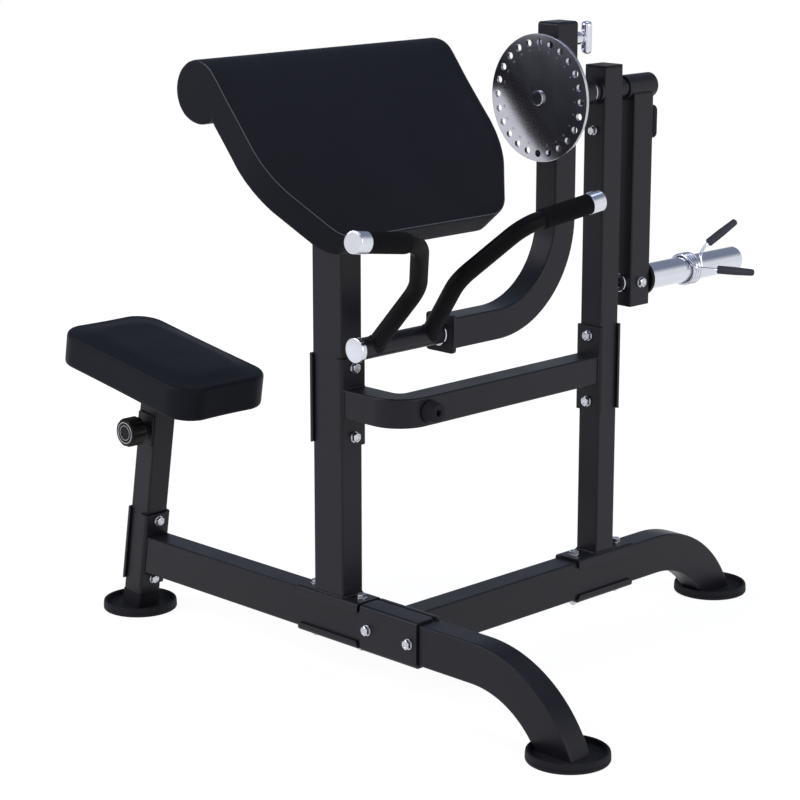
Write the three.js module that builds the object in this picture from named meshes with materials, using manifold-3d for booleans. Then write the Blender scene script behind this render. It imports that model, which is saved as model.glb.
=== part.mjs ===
// A plate-loaded preacher bench: a sloped arm pad and a seat on a tube frame, with a curling lever.
// Millimetres, +Z up. The user sits at -X and curls the handles towards +X and up.
// Pieces are laid out from the point on the floor under the front upright. At the end the whole bench
// is moved, so that its origin is the middle of its footprint on the floor.

import * as THREE from "three";
import { mergeVertices } from "three/addons/utils/BufferGeometryUtils.js";
import Module from "manifold-3d";

const wasm = await Module();
wasm.setup();

// Clearances and plate sizes used all over the bench
const SEAT_GAP = 0.3;
const RUNNING_GAP = 0.5;
const OVERRUN = 20;
const PLATE = 5;
const TUBE_WIDTH = 50;
const TUBE_WALL = 3;
const TUBE_CORNER = 6;
const BRACKET_END_RADIUS = 7;

// Through bolts
const BOLT_RADIUS = 5;
const BOLT_HOLE_RADIUS = 6;
const BOLT_HEAD_ACROSS = 16;
const BOLT_HEAD_HEIGHT = 6.4;
const BOLT_NUT_HEIGHT = 8;
const BOLT_WASHER_RADIUS = 10;
const BOLT_WASHER_HEIGHT = 2;
const BOLT_TAIL = 3;

// Rails and their curved legs
const RAIL_HEIGHT = 75;
const RAIL_CENTRE_Z = 123.5;
const LEG_BEND_RADIUS = 212;
const LEG_TURN_DEGREES = 70;
const LEG_STUB = 10;
const MAIN_RAIL_BEND_X = 355;
const SIDE_RAIL_X = 157;
const SIDE_RAIL_BEND_Y = 687;

// Rubber feet
const FOOT_RADIUS = 72.5;
const FOOT_HEIGHT = 18;
const FOOT_BASE = 8;
const FOOT_RIM = 5;
const FOOT_EDGE = 2.5;
const FOOT_LEAD = 8.4;
const BOOT_WIDTH = 52;
const BOOT_HEIGHT = 38;
const BOOT_STUB = 22;

// Uprights, their saddles and the brackets under the rails
const FRONT_UPRIGHT_DEPTH = 75;
const REAR_UPRIGHT_Y = 526.5;
const REAR_UPRIGHT_TOP = 1090;
const SADDLE_LENGTH = 158;
const SADDLE_FLANGE = 14;
const SADDLE_BOLT_SPACING = 120;
const UNDER_BRACKET_LENGTH = 156;
const UNDER_BRACKET_FLANGE = 10;
const PLUG_CAP = 4;
const PLUG_STUB = 14;

// Clamp where the side rail meets the main rail
const CLAMP_LENGTH = 142;
const CLAMP_NEAR_FLANGE = 40;
const CLAMP_FAR_FLANGE = 7;
const CLAMP_BOLT_SPACING = 104;

// Cross member between the uprights, bent in plan
const CROSS_HEIGHT = 53;
const CROSS_CENTRE_Z = 525;
const CROSS_BEND_RADIUS = 40;
const CROSS_BRACKET_LENGTH = 162;
const CROSS_BOLT_SPACING = 126;
const CROSS_FRONT_FLANGE = 17;
const CROSS_REAR_FLANGE = 10;
const CROSS_BACK_FLANGE = 5;

// Rubber bumper on the cross member
const BUMPER_Y = 48;
const BUMPER_BASE_RADIUS = 21;
const BUMPER_TIP_RADIUS = 16.5;
const BUMPER_LENGTH = 24;
const BUMPER_EDGE = 3;
const BUMPER_BORE = 5.5;
const BUMPER_BORE_DEPTH = 12;
const BUMPER_STUD_RADIUS = 4;
const BUMPER_STUD_LENGTH = 12;

// Seat post, leaning towards the arm pad
const POST_FOOT_X = -575;
const POST_LEAN_DEGREES = 9.5;
const POST_TOP = 462;
const POST_BRACKET_ALONG = 137;
const POST_BRACKET_LENGTH = 152;
const POST_BRACKET_FLANGE = 20;
const POST_BACK_FLANGE = 5;
const POST_BOLT_SPACING = 124;

// Telescoping post inside it, and the row of holes for the pull pin
const INNER_POST_WIDTH = 43;
const INNER_POST_BOTTOM = 214;
const SEAT_PLATE_LENGTH = 180;
const SEAT_PLATE_WIDTH = 120;
const SEAT_HOLE_PITCH = 25;
const SEAT_HOLE_COUNT = 6;
const SEAT_PIN_RADIUS = 5;
const SEAT_PIN_HOLE_RADIUS = 5.6;

// Pull pin on the seat post
const KNOB_ALONG = 387;
const KNOB_RADIUS = 26.5;
const KNOB_FLUTE_DEPTH = 2.6;
const KNOB_FLUTES = 8;
const KNOB_POINTS_PER_FLUTE = 4;
const KNOB_BASE_Y = -45;
const KNOB_LENGTH = 43;
const KNOB_EDGE = 4;
const KNOB_BORE_RADIUS = 15;
const KNOB_BORE_DEPTH = 14;
const PIN_PLATE_LENGTH = 63;
const PIN_PLATE_WIDTH = 44;
const PIN_PLATE_THICKNESS = 4;
const PIN_COLLAR_RADIUS = 13;
const PIN_COLLAR_END_Y = -42;
const PIN_THREAD_DEPTH = 16;

// Seat cushion
const SEAT_LENGTH = 390;
const SEAT_WIDTH = 226;
const SEAT_THICKNESS = 69.5;
const SEAT_CORNER = 54;
const SEAT_UNDERSIDE = 479.8;
const SEAT_FORWARD = 5;
const SEAT_TOP_EDGE = 21;
const SEAT_BOTTOM_EDGE = 7;
const SEAT_CROWN = 5;
const SEAT_DRAW = 2.5;
const SEAT_BOARD_INSET = 14;
const SEAT_BOARD_THICKNESS = 12;
const SEAT_CORNER_STEPS = 5;
const SEAT_SIDE_STEPS = 5;
const SEAT_EDGE_STEPS = 4;
const SEAT_BOTTOM_STEPS = 2;
const BOARD_CORNER_STEPS = 4;
const SEAT_TOP_SHARES = [0.72, 0.42, 0.16];

// Arm pad: a flat sloped slab that ends in a roll along its top edge
const PAD_SLOPE_DEGREES = 49.67;
const ROLL_X = -34.8;
const ROLL_Z = 1088.4;
const ROLL_RADIUS = 54;
const SLAB_THICKNESS = 53;
const SLAB_LENGTH = 335.2;
const PAD_HALF_WIDTH = 284.5;
const PAD_TAPER_START = 197.6;
const PAD_TAPER_DEGREES = 33;
const PAD_TAPER_RADIUS = 70;
const PAD_END_CORNER = 25;
const PAD_EDGE = 12;
const PAD_FRONT_EDGE = 15;
const PAD_BACK_EDGE = 13;
const PAD_CROWN = 4;
const PAD_DRAW = 3;
const PAD_ROLL_STEPS = 16;
const PAD_EDGE_STEPS = 3;
const PAD_SLAB_STEPS = 8;
const PAD_ACROSS_STEPS = 6;
const PAD_BOARD_THICKNESS = 15;
const PAD_BOARD_START = 68;
const PAD_BOARD_END = 318;
const PAD_BOARD_HALF_WIDTH = 165;
const PAD_BOARD_CORNER = 30;
const PAD_PLATE_START = 70;
const PAD_PLATE_END = 290;
const PAD_PLATE_WIDTH = 130;
const ROLL_CLEARANCE = 4;

// Main shaft, its bearings and the index disc
const PIVOT_Z = 1042.6;
const SHAFT_RADIUS = 13.5;
const SHAFT_START_Y = 351;
const SHAFT_END_Y = 653;
const SHAFT_CHAMFER = 1.5;
const BEARING_RADIUS = 17;
const BEARING_SLEEVE = 20;
const FRONT_BEARING_Y = 487.3;
const FRONT_BEARING_FLANGE_RADIUS = 21.5;
const REAR_BEARING_Y = 573;
const REAR_BEARING_FLANGE_RADIUS = 18.5;
const BEARING_FLANGE = 3.7;
const BEARING_TUBE_RADIUS = 20.5;
const FRONT_BOSS_RADIUS = 25;
const FRONT_BOSS_COLLAR = 6;
const REAR_BOSS_RADIUS = 23;
const DISC_Y = 348.7;
const DISC_THICKNESS = 6;
const DISC_RADIUS = 114;
const DISC_HOLE_CIRCLE = 99;
const DISC_HOLE_RADIUS = 5.5;
const DISC_HOLE_COUNT = 24;
const DISC_BOSS_RADIUS = 22.5;
const DISC_BOSS = 9.3;
const STOP_BOLT_Z = 971;
const STOP_BOLT_RADIUS = 4;
const STOP_BOLT_HOLE_RADIUS = 5;
const STOP_BOLT_HEAD_ACROSS = 13;
const STOP_BOLT_HEAD = 7;
const STOP_BOLT_WASHER = 2.5;
const STOP_BOLT_WASHER_RADIUS = 8.5;
const STOP_BOLT_SHANK = 14;

// Lever
const LEVER_DEPTH = 55;
const LEVER_Y = 398;
const LEVER_HEAD = 34.4;
const LEVER_BEND_RADIUS = 172.5;
const LEVER_ARM_Z = 653.5;
const LEVER_ARM_END_Y = 105;
const LEVER_HUB_RADIUS = 23;
const LEVER_HUB_END_Y = 482.8;
const END_PLATE_WIDTH = 68;
const END_PLATE_THICKNESS = 6;

// Pull pin at the lever's top
const POP_PIN_RADIUS = 5;
const POP_PIN_BARREL_RADIUS = 12;
const POP_PIN_BARREL_END_Y = 455;
const POP_PIN_TRAVEL = 6.5;
const POP_PIN_STEM_RADIUS = 8;
const T_BAR_Y = 476;
const T_BAR_RADIUS = 10;
const T_BAR_LENGTH = 59;
const T_BAR_EDGE = 3;
const T_BAR_SLOT_WIDTH = 7;
const T_BAR_SLOT_LENGTH = 13;
const T_BAR_SLOT_DEPTH = 8;
const T_BAR_SLOT_OFFSET = 17;

// Handle bar on its axle. Its bends are placed from the middle of its sleeve.
const AXLE_RADIUS = 12.5;
const AXLE_RING_RADIUS = 22;
const AXLE_RING = 6.4;
const SLEEVE_RADIUS = 19;
const SLEEVE_END_Y = -98;
const AXLE_TAIL = 12;
const AXLE_CAP_RADIUS = 22;
const AXLE_CAP = 11;
const AXLE_CAP_EDGE = 2;
const AXLE_SCREW_RADIUS = 6;
const AXLE_SCREW_LENGTH = 22;
const HANDLE_RADIUS = 15;
const HANDLE_WALL = 2.5;
const HANDLE_ROOT_FORWARD = 6.4;
const HANDLE_ROOT_ASIDE = 65.5;
const HANDLE_ROOT_UP = 3.8;
const HANDLE_ELBOW_FORWARD = 85;
const HANDLE_ELBOW_ASIDE = 41;
const HANDLE_ELBOW_UP = 109.5;
const HANDLE_SHOULDER_FORWARD = 170;
const HANDLE_SHOULDER_ASIDE = 122;
const HANDLE_SHOULDER_UP = 206.5;
const HANDLE_END_FORWARD = 196;
const HANDLE_END_ASIDE = 298;
const HANDLE_END_UP = 232.5;
const HANDLE_ELBOW_RADIUS = 70;
const HANDLE_SHOULDER_RADIUS = 75;
const GRIP_RADIUS = 18;
const GRIP_START = 40;
const GRIP_EDGE = 3;
const GRIP_CAP_RADIUS = 19;
const GRIP_CAP_LENGTH = 26;
const GRIP_CAP_END = 8;
const GRIP_CAP_EDGE = 2;

// Weight arm, plate peg and spring collar
const WEIGHT_ARM_DEPTH = 55;
const WEIGHT_ARM_Y = 613.5;
const WEIGHT_ARM_BOTTOM = 632;
const WEIGHT_ARM_TOP = 1031;
const WEIGHT_HUB_RADIUS = 23.5;
const WEIGHT_HUB_START_Y = 577;
const WEIGHT_HUB_END_Y = 656;
const ARM_BUMPER_LOW_Z = 945;
const ARM_BUMPER_HIGH_Z = 1007;
const ARM_BUMPER_WIDTH = 40;
const ARM_BUMPER_THICKNESS = 12;
const ARM_BUMPER_CORNER = 10;
const ARM_BUMPER_CORNER_STEPS = 3;
const ARM_BUMPER_EDGE = 2.5;
const PEG_Z = 677;
const PEG_RADIUS = 25;
const PEG_WALL = 4;
const PEG_END_Y = 930;
const PEG_EDGE = 4;
const PEG_STUB_RADIUS = 15;
const PEG_STUB_BORE = 9;
const PEG_RING_RADIUS = 17.5;
const PEG_RING = 7;
const PEG_FLANGE_RADIUS = 33;
const PEG_FLANGE = 8.4;
const PEG_BOLT_SHANK = 15;
const WIRE_RADIUS = 3;
const WIRE_SIDES = 6;
const COLLAR_RADIUS = 28.6;
const COLLAR_PITCH = 6.7;
const COLLAR_START_Y = 773;
const COLLAR_TURNS = 4;
const COLLAR_STEPS_PER_TURN = 18;
const COLLAR_START_DEGREES = 50;
const COLLAR_END_DEGREES = 13;
const COLLAR_LEAD = 22;
const COLLAR_BEND_RADIUS = 8;
const COLLAR_BEND_STEPS = 3;
const COLLAR_NEIGHBOUR_SHARE = 8;
const UPPER_GRIP_ROOT_FORWARD = 18;
const UPPER_GRIP_ROOT_ALONG = 42;
const UPPER_GRIP_ROOT_UP = 48;
const UPPER_GRIP_TIP_FORWARD = 47;
const UPPER_GRIP_TIP_ALONG = 92;
const UPPER_GRIP_TIP_UP = 88;
const LOWER_GRIP_ROOT_FORWARD = 43;
const LOWER_GRIP_ROOT_ALONG = 49;
const LOWER_GRIP_ROOT_UP = 1;
const LOWER_GRIP_TIP_FORWARD = 93;
const LOWER_GRIP_TIP_ALONG = 99;
const LOWER_GRIP_TIP_DOWN = 5;
const COLLAR_GRIP_RADIUS = 7;
const COLLAR_GRIP_TIP_RADIUS = 5.5;
const COLLAR_GRIP_WALL = 4;
const COLLAR_LEAST_GAP = 0.4;

// How finely round shapes are divided
const CORNER_STEPS = 2;
const LEG_STEPS = 7;
const BEND_STEPS = 5;
const HANDLE_SIDES = 12;
const HANDLE_BORE_SIDES = 7;
const BOLT_SIDES = 6;
const HOLE_SIDES = 6;
const WASHER_SIDES = 8;
const HEXAGON_SIDES = 6;
const BEVEL_STEPS = 2;
const PIN_SIDES = 10;
const DISC_HOLE_SIDES = 8;
const SHAFT_SIDES = 16;
const FOOT_SIDES = 24;
const DISC_SIDES = 48;
const MERGE_DISTANCE = 1e-4;

// Finishes, as the photograph shows them
const BLACK_PAINT = { color: 0x2a2a2d, roughness: 0.45, metalness: 0.2 };
const VINYL = { color: 0x26272e, roughness: 0.5, metalness: 0 };
const FOAM = { color: 0x121214, roughness: 0.9, metalness: 0 };
const RUBBER = { color: 0x1b1b1d, roughness: 0.85, metalness: 0 };
const PLASTIC = { color: 0x202023, roughness: 0.5, metalness: 0 };
const CHROME = { color: 0xe8e8f0, roughness: 0.1, metalness: 1 };
const POLISHED_STEEL = { color: 0xb9bac4, roughness: 0.25, metalness: 1 };
const PLYWOOD = { color: 0xb08a5a, roughness: 0.8, metalness: 0 };

const X = new THREE.Vector3(1, 0, 0);
const Y = new THREE.Vector3(0, 1, 0);
const Z = new THREE.Vector3(0, 0, 1);
const radians = THREE.MathUtils.degToRad;
const at = (x, y, z) => new THREE.Vector3(x, y, z);

// A path of straight stretches with an arc at each inner corner. Its sections are held square to it,
// with the section's second side along the side vector, carried round the bends.
class BentPath extends THREE.Curve {
  constructor(corners, radii, side, arcSteps) {
    super();
    this.side = side;
    const last = corners.length - 1;
    const heading = (i) => corners[i + 1].clone().sub(corners[i]).normalize();
    this.stations = [{ point: corners[0].clone(), tangent: heading(0) }];
    for (let i = 1; i < last; i++) {
      const before = heading(i - 1);
      const after = heading(i);
      const turn = before.angleTo(after);
      const inwards = after.clone().addScaledVector(before, -Math.cos(turn)).normalize();
      const start = corners[i].clone().addScaledVector(before, -radii[i - 1] * Math.tan(turn / 2));
      for (let step = 0; step <= arcSteps; step++) {
        const angle = (turn * step) / arcSteps;
        const point = start.clone().addScaledVector(before, radii[i - 1] * Math.sin(angle));
        point.addScaledVector(inwards, radii[i - 1] * (1 - Math.cos(angle)));
        const tangent = before.clone().multiplyScalar(Math.cos(angle));
        tangent.addScaledVector(inwards, Math.sin(angle));
        this.stations.push({ point, tangent });
      }
    }
    this.stations.push({ point: corners[last].clone(), tangent: heading(last - 1) });
  }

  getSpacedPoints() {
    return this.stations.map((station) => station.point);
  }

  computeFrenetFrames() {
    let binormal = this.side.clone();
    const frames = { tangents: [], normals: [], binormals: [] };
    for (const { tangent } of this.stations) {
      binormal = binormal.clone().projectOnPlane(tangent).normalize();
      frames.tangents.push(tangent);
      frames.binormals.push(binormal);
      frames.normals.push(binormal.clone().cross(tangent));
    }
    return frames;
  }
}

// A path through points that lie close together, such as the turns of a spring.
class PointPath extends BentPath {
  constructor(points, side) {
    super([points[0], points[1]], [], side, 0);
    this.stations = points.map((point, i) => {
      const ahead = points[Math.min(i + 1, points.length - 1)];
      const behind = points[Math.max(i - 1, 0)];
      return { point, tangent: ahead.clone().sub(behind).normalize() };
    });
  }
}

// A closed geometry as a solid that can be joined and cut.
function solidOf(geometry) {
  const bare = geometry.clone();
  bare.deleteAttribute("normal");
  bare.deleteAttribute("uv");
  const merged = mergeVertices(bare, MERGE_DISTANCE);
  const corners = merged.index.array;
  const kept = [];
  for (let i = 0; i < corners.length; i += 3) {
    const [a, b, c] = [corners[i], corners[i + 1], corners[i + 2]];
    if (a !== b && b !== c && c !== a) {
      kept.push(a, b, c);
    }
  }
  const vertProperties = merged.attributes.position.array;
  return new wasm.Manifold(new wasm.Mesh({ numProp: 3, vertProperties, triVerts: new Uint32Array(kept) }));
}

function geometryOf(solid) {
  const { vertProperties, triVerts } = solid.getMesh();
  const geometry = new THREE.BufferGeometry();
  geometry.setAttribute("position", new THREE.BufferAttribute(vertProperties, 3));
  geometry.setIndex(new THREE.BufferAttribute(triVerts, 1));
  const flat = geometry.toNonIndexed();
  flat.computeVertexNormals();
  return flat;
}

function join(...geometries) {
  return geometryOf(geometries.map(solidOf).reduce((whole, piece) => whole.add(piece)));
}

function cut(geometry, ...tools) {
  return geometryOf(tools.map(solidOf).reduce((whole, tool) => whole.subtract(tool), solidOf(geometry)));
}

// Points round a rectangle with round corners, anticlockwise.
function roundedOutline(width, depth, corner, steps = CORNER_STEPS) {
  const points = [];
  for (let quarter = 0; quarter < 4; quarter++) {
    const right = quarter === 0 || quarter === 3 ? 1 : -1;
    const up = quarter < 2 ? 1 : -1;
    for (let step = 0; step <= steps; step++) {
      const angle = ((quarter + step / steps) * Math.PI) / 2;
      const x = right * (width / 2 - corner) + corner * Math.cos(angle);
      points.push(new THREE.Vector2(x, up * (depth / 2 - corner) + corner * Math.sin(angle)));
    }
  }
  return points;
}

function roundOutline(radius, sides) {
  const points = [];
  for (let i = 0; i < sides; i++) {
    const angle = (2 * Math.PI * i) / sides;
    points.push(new THREE.Vector2(radius * Math.cos(angle), radius * Math.sin(angle)));
  }
  return points;
}

function rectangle(width, depth) {
  const [x, y] = [width / 2, depth / 2];
  return [[x, y], [-x, y], [-x, -y], [x, -y]].map(([u, v]) => new THREE.Vector2(u, v));
}

// The wall of a rectangular tube: width across the path, depth along its side vector.
function tubeSection(width, depth) {
  const section = new THREE.Shape(roundedOutline(width, depth, TUBE_CORNER));
  section.holes.push(new THREE.Path(rectangle(width - 2 * TUBE_WALL, depth - 2 * TUBE_WALL)));
  return section;
}

function sweep(path, section) {
  return new THREE.ExtrudeGeometry(section, { steps: path.stations.length - 1, extrudePath: path });
}

function bar(from, to, section, side) {
  return sweep(new BentPath([from, to], [], side, 0), section);
}

function block(x, y, z) {
  const size = [x, y, z].map(([low, high]) => high - low);
  const middle = [x, y, z].map(([low, high]) => (low + high) / 2);
  return new THREE.BoxGeometry(...size).translate(...middle);
}

function rod(from, to, radius, sides = SHAFT_SIDES, endRadius = radius) {
  const along = to.clone().sub(from);
  const geometry = new THREE.CylinderGeometry(endRadius, radius, along.length(), sides);
  geometry.applyQuaternion(new THREE.Quaternion().setFromUnitVectors(Y, along.clone().normalize()));
  return geometry.translate(...from.clone().add(to).divideScalar(2).toArray());
}

// A turned piece: its profile gives [radius, distance along the axis] from its low end to its high end.
function turned(profile, from, axis, sides = SHAFT_SIDES) {
  const points = profile.map(([radius, along]) => new THREE.Vector2(radius, along));
  const geometry = new THREE.LatheGeometry(points, sides);
  geometry.applyQuaternion(new THREE.Quaternion().setFromUnitVectors(Y, axis));
  return geometry.translate(...from.toArray());
}

// Turns and moves a geometry, so that its own x and y run along two directions at a place.
function place(geometry, origin, along, across) {
  const third = along.clone().cross(across);
  const matrix = new THREE.Matrix4().makeBasis(along, across, third).setPosition(origin);
  return geometry.clone().applyMatrix4(matrix);
}

function addPiece(group, name, geometry, finish) {
  const mesh = new THREE.Mesh(geometry, new THREE.MeshStandardMaterial(finish));
  mesh.name = name;
  group.add(mesh);
  return mesh;
}

// A folded bracket that lies on one face of a tube. Its own x points away from the tube, y runs along
// the bracket and z across the tube. Its two flanges reach back over the tube's sides.
function bracket({ length, tubeWidth, flange, boltSpacing }) {
  const half = tubeWidth / 2 + SEAT_GAP + PLATE;
  const faceShape = new THREE.Shape(roundedOutline(length, 2 * half, TUBE_CORNER));
  const face = new THREE.ExtrudeGeometry(faceShape, { depth: PLATE, bevelEnabled: false });
  const reach = flange + PLATE;
  const endRadius = Math.min(BRACKET_END_RADIUS, reach / 2);
  const flangeShape = new THREE.Shape(roundedOutline(reach, length, endRadius));
  const wing = new THREE.ExtrudeGeometry(flangeShape, { depth: PLATE, bevelEnabled: false });
  wing.translate(PLATE - reach / 2, 0, half - PLATE);
  const otherWing = wing.clone().translate(0, 0, PLATE - 2 * half);
  const whole = join(place(face, at(0, 0, 0), Y, Z), wing, otherWing);
  const holes = [-1, 1].map((end) => {
    const y = (end * boltSpacing) / 2;
    return rod(at(-OVERRUN, y, 0), at(PLATE + OVERRUN, y, 0), BOLT_HOLE_RADIUS, HOLE_SIDES);
  });
  return cut(whole, ...holes);
}

function hexagonalPrism(from, to, acrossFlats) {
  return rod(from, to, acrossFlats / 2 / Math.cos(Math.PI / HEXAGON_SIDES), HEXAGON_SIDES);
}

// A bolt along +x, from the face under its head at 0 to the face under its nut at grip.
function throughBolt(grip) {
  const stack = (start, washer, head) => {
    const outwards = Math.sign(start) || -1;
    const washerStart = start + outwards * SEAT_GAP;
    const washerEnd = washerStart + outwards * washer;
    return [
      rod(at(washerStart, 0, 0), at(washerEnd, 0, 0), BOLT_WASHER_RADIUS, WASHER_SIDES),
      hexagonalPrism(at(washerEnd, 0, 0), at(washerEnd + outwards * head, 0, 0), BOLT_HEAD_ACROSS),
    ];
  };
  const end = grip + SEAT_GAP + BOLT_WASHER_HEIGHT + BOLT_NUT_HEIGHT + BOLT_TAIL;
  const shank = rod(at(-SEAT_GAP - BOLT_WASHER_HEIGHT, 0, 0), at(end, 0, 0), BOLT_RADIUS, BOLT_SIDES);
  const head = stack(0, BOLT_WASHER_HEIGHT, BOLT_HEAD_HEIGHT);
  return join(shank, ...head, ...stack(grip, BOLT_WASHER_HEIGHT, BOLT_NUT_HEIGHT));
}

// Two bolts side by side through a joint. centre lies on the face under their heads.
function addBoltPair(group, name, centre, axis, along, spacing, grip) {
  [-1, 1].forEach((end, i) => {
    const origin = centre.clone().addScaledVector(along, (end * spacing) / 2);
    addPiece(group, `${name}_${i + 1}`, place(throughBolt(grip), origin, axis, along), CHROME);
  });
}

// Holes for such a pair, long enough to pass the whole joint.
function boltHoles(centre, axis, along, spacing, reach) {
  return [-1, 1].map((end) => {
    const origin = centre.clone().addScaledVector(along, (end * spacing) / 2);
    const tip = origin.clone().addScaledVector(axis, reach + OVERRUN);
    return rod(origin.addScaledVector(axis, -OVERRUN), tip, BOLT_HOLE_RADIUS, HOLE_SIDES);
  });
}

const railTop = RAIL_CENTRE_Z + RAIL_HEIGHT / 2;
const railBottom = RAIL_CENTRE_Z - RAIL_HEIGHT / 2;
const halfTube = TUBE_WIDTH / 2;
const saddleTop = railTop + SEAT_GAP + PLATE;
const bracketOuter = halfTube + SEAT_GAP + PLATE;
const legReach = Math.sqrt(LEG_BEND_RADIUS ** 2 - (LEG_BEND_RADIUS - RAIL_CENTRE_Z) ** 2);
const frontFootX = MAIN_RAIL_BEND_X + legReach + FOOT_LEAD;
const rearFootY = SIDE_RAIL_BEND_Y + legReach + FOOT_LEAD;
const railJointGrip = 2 * (SEAT_GAP + PLATE) + RAIL_HEIGHT;
const postTurn = new THREE.Matrix4().makeRotationY(radians(POST_LEAN_DEGREES));
const postFrame = postTurn.clone().setPosition(POST_FOOT_X, 0, 0);
const padTurn = new THREE.Matrix4().makeRotationY(radians(PAD_SLOPE_DEGREES));
const padFrame = padTurn.clone().setPosition(ROLL_X, 0, ROLL_Z);
const slabBack = ROLL_RADIUS - SLAB_THICKNESS;
const crossFrontFace = FRONT_UPRIGHT_DEPTH / 2 + SEAT_GAP;
const crossRearFace = REAR_UPRIGHT_Y - halfTube - SEAT_GAP;

const saddleHoles = (centre, along) => boltHoles(centre, Z, along, SADDLE_BOLT_SPACING, saddleTop);
const frontSaddleHoles = () => saddleHoles(at(0, 0, 0), X);
const rearSaddleHoles = () => saddleHoles(at(SIDE_RAIL_X, REAR_UPRIGHT_Y, 0), Y);

function clampHoles() {
  const centre = at(SIDE_RAIL_X, -bracketOuter, RAIL_CENTRE_Z);
  return boltHoles(centre, Y, X, CLAMP_BOLT_SPACING, 2 * bracketOuter);
}

function crossFrontHoles() {
  const reach = 2 * (crossFrontFace + PLATE);
  return boltHoles(at(-reach / 2, 0, CROSS_CENTRE_Z), X, Z, CROSS_BOLT_SPACING, reach);
}

function crossRearHoles() {
  const centre = at(SIDE_RAIL_X, crossRearFace - PLATE, CROSS_CENTRE_Z);
  return boltHoles(centre, Y, Z, CROSS_BOLT_SPACING, 2 * bracketOuter);
}

// A rail that runs level and then bends down to its foot.
function railWithLeg(start, bendStart, direction, side) {
  const turn = radians(LEG_TURN_DEGREES);
  const tangentLength = LEG_BEND_RADIUS * Math.tan(turn / 2);
  const corner = bendStart.clone().addScaledVector(direction, tangentLength);
  const down = direction.clone().multiplyScalar(Math.cos(turn)).addScaledVector(Z, -Math.sin(turn));
  const end = corner.clone().addScaledVector(down, tangentLength + LEG_STUB);
  const path = new BentPath([start, corner, end], [LEG_BEND_RADIUS], side, LEG_STEPS);
  const floorCut = block(
    [end.x - LEG_BEND_RADIUS, end.x + LEG_BEND_RADIUS],
    [end.y - LEG_BEND_RADIUS, end.y + LEG_BEND_RADIUS],
    [-LEG_BEND_RADIUS, FOOT_BASE + SEAT_GAP],
  );
  return cut(sweep(path, tubeSection(RAIL_HEIGHT, TUBE_WIDTH)), floorCut);
}

function postBracket(outwards, flange) {
  const sizes = {
    length: POST_BRACKET_LENGTH,
    tubeWidth: TUBE_WIDTH,
    flange,
    boltSpacing: POST_BOLT_SPACING,
  };
  const origin = at(outwards * (halfTube + SEAT_GAP), 0, POST_BRACKET_ALONG);
  return place(bracket(sizes), origin, X.clone().multiplyScalar(outwards), Z);
}

function addMainRail(group) {
  const endBracket = postBracket(1, POST_BRACKET_FLANGE).applyMatrix4(postFrame);
  const lean = RAIL_CENTRE_Z * Math.tan(radians(POST_LEAN_DEGREES));
  const start = at(POST_FOOT_X + lean, 0, RAIL_CENTRE_Z);
  const rail = railWithLeg(start, at(MAIN_RAIL_BEND_X, 0, RAIL_CENTRE_Z), X, Y);
  const postSpace = block(
    [-2 * halfTube - OVERRUN, halfTube + SEAT_GAP],
    [-halfTube - SEAT_GAP, halfTube + SEAT_GAP],
    [-OVERRUN, POST_TOP],
  ).applyMatrix4(postFrame);
  const trimmed = cut(rail, postSpace);
  const whole = join(trimmed, endBracket);
  addPiece(group, "main_rail", cut(whole, ...frontSaddleHoles(), ...clampHoles()), BLACK_PAINT);
}

function addSideRail(group) {
  const start = at(SIDE_RAIL_X, bracketOuter - PLATE / 2, RAIL_CENTRE_Z);
  const rail = railWithLeg(start, at(SIDE_RAIL_X, SIDE_RAIL_BEND_Y, RAIL_CENTRE_Z), Y, X);
  const sizes = {
    length: CLAMP_LENGTH,
    tubeWidth: RAIL_HEIGHT,
    flange: CLAMP_FAR_FLANGE,
    boltSpacing: CLAMP_BOLT_SPACING,
  };
  const endBracket = place(bracket(sizes), at(SIDE_RAIL_X, halfTube + SEAT_GAP, RAIL_CENTRE_Z), Y, X);
  addPiece(group, "side_rail", cut(join(rail, endBracket), ...rearSaddleHoles()), BLACK_PAINT);
}

function saddle(centre, along, outwards, length, flange) {
  const sizes = { length, tubeWidth: TUBE_WIDTH, flange, boltSpacing: SADDLE_BOLT_SPACING };
  return place(bracket(sizes), centre, Z.clone().multiplyScalar(outwards), along);
}

function addFrontUpright(group) {
  const base = saddle(at(0, 0, railTop + SEAT_GAP), X, 1, SADDLE_LENGTH, SADDLE_FLANGE);
  const section = tubeSection(FRONT_UPRIGHT_DEPTH, TUBE_WIDTH);
  const post = bar(at(0, 0, saddleTop - PLATE / 2), at(0, 0, ROLL_Z + ROLL_RADIUS), section, Y);
  const plateTop = slabBack - SEAT_GAP;
  const aboveSlab = block(
    [-SLAB_LENGTH, SLAB_LENGTH],
    [-PAD_HALF_WIDTH, PAD_HALF_WIDTH],
    [plateTop - PLATE / 2, PAD_HALF_WIDTH],
  ).applyMatrix4(padFrame);
  const rollSpace = rod(
    at(ROLL_X, -PAD_HALF_WIDTH, ROLL_Z),
    at(ROLL_X, PAD_HALF_WIDTH, ROLL_Z),
    ROLL_RADIUS + ROLL_CLEARANCE,
  );
  const plate = block(
    [PAD_PLATE_START, PAD_PLATE_END],
    [-PAD_PLATE_WIDTH / 2, PAD_PLATE_WIDTH / 2],
    [plateTop - PLATE, plateTop],
  ).applyMatrix4(padFrame);
  const whole = join(base, cut(post, aboveSlab, rollSpace), plate);
  addPiece(group, "front_upright", cut(whole, ...crossFrontHoles()), BLACK_PAINT);
}

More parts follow.
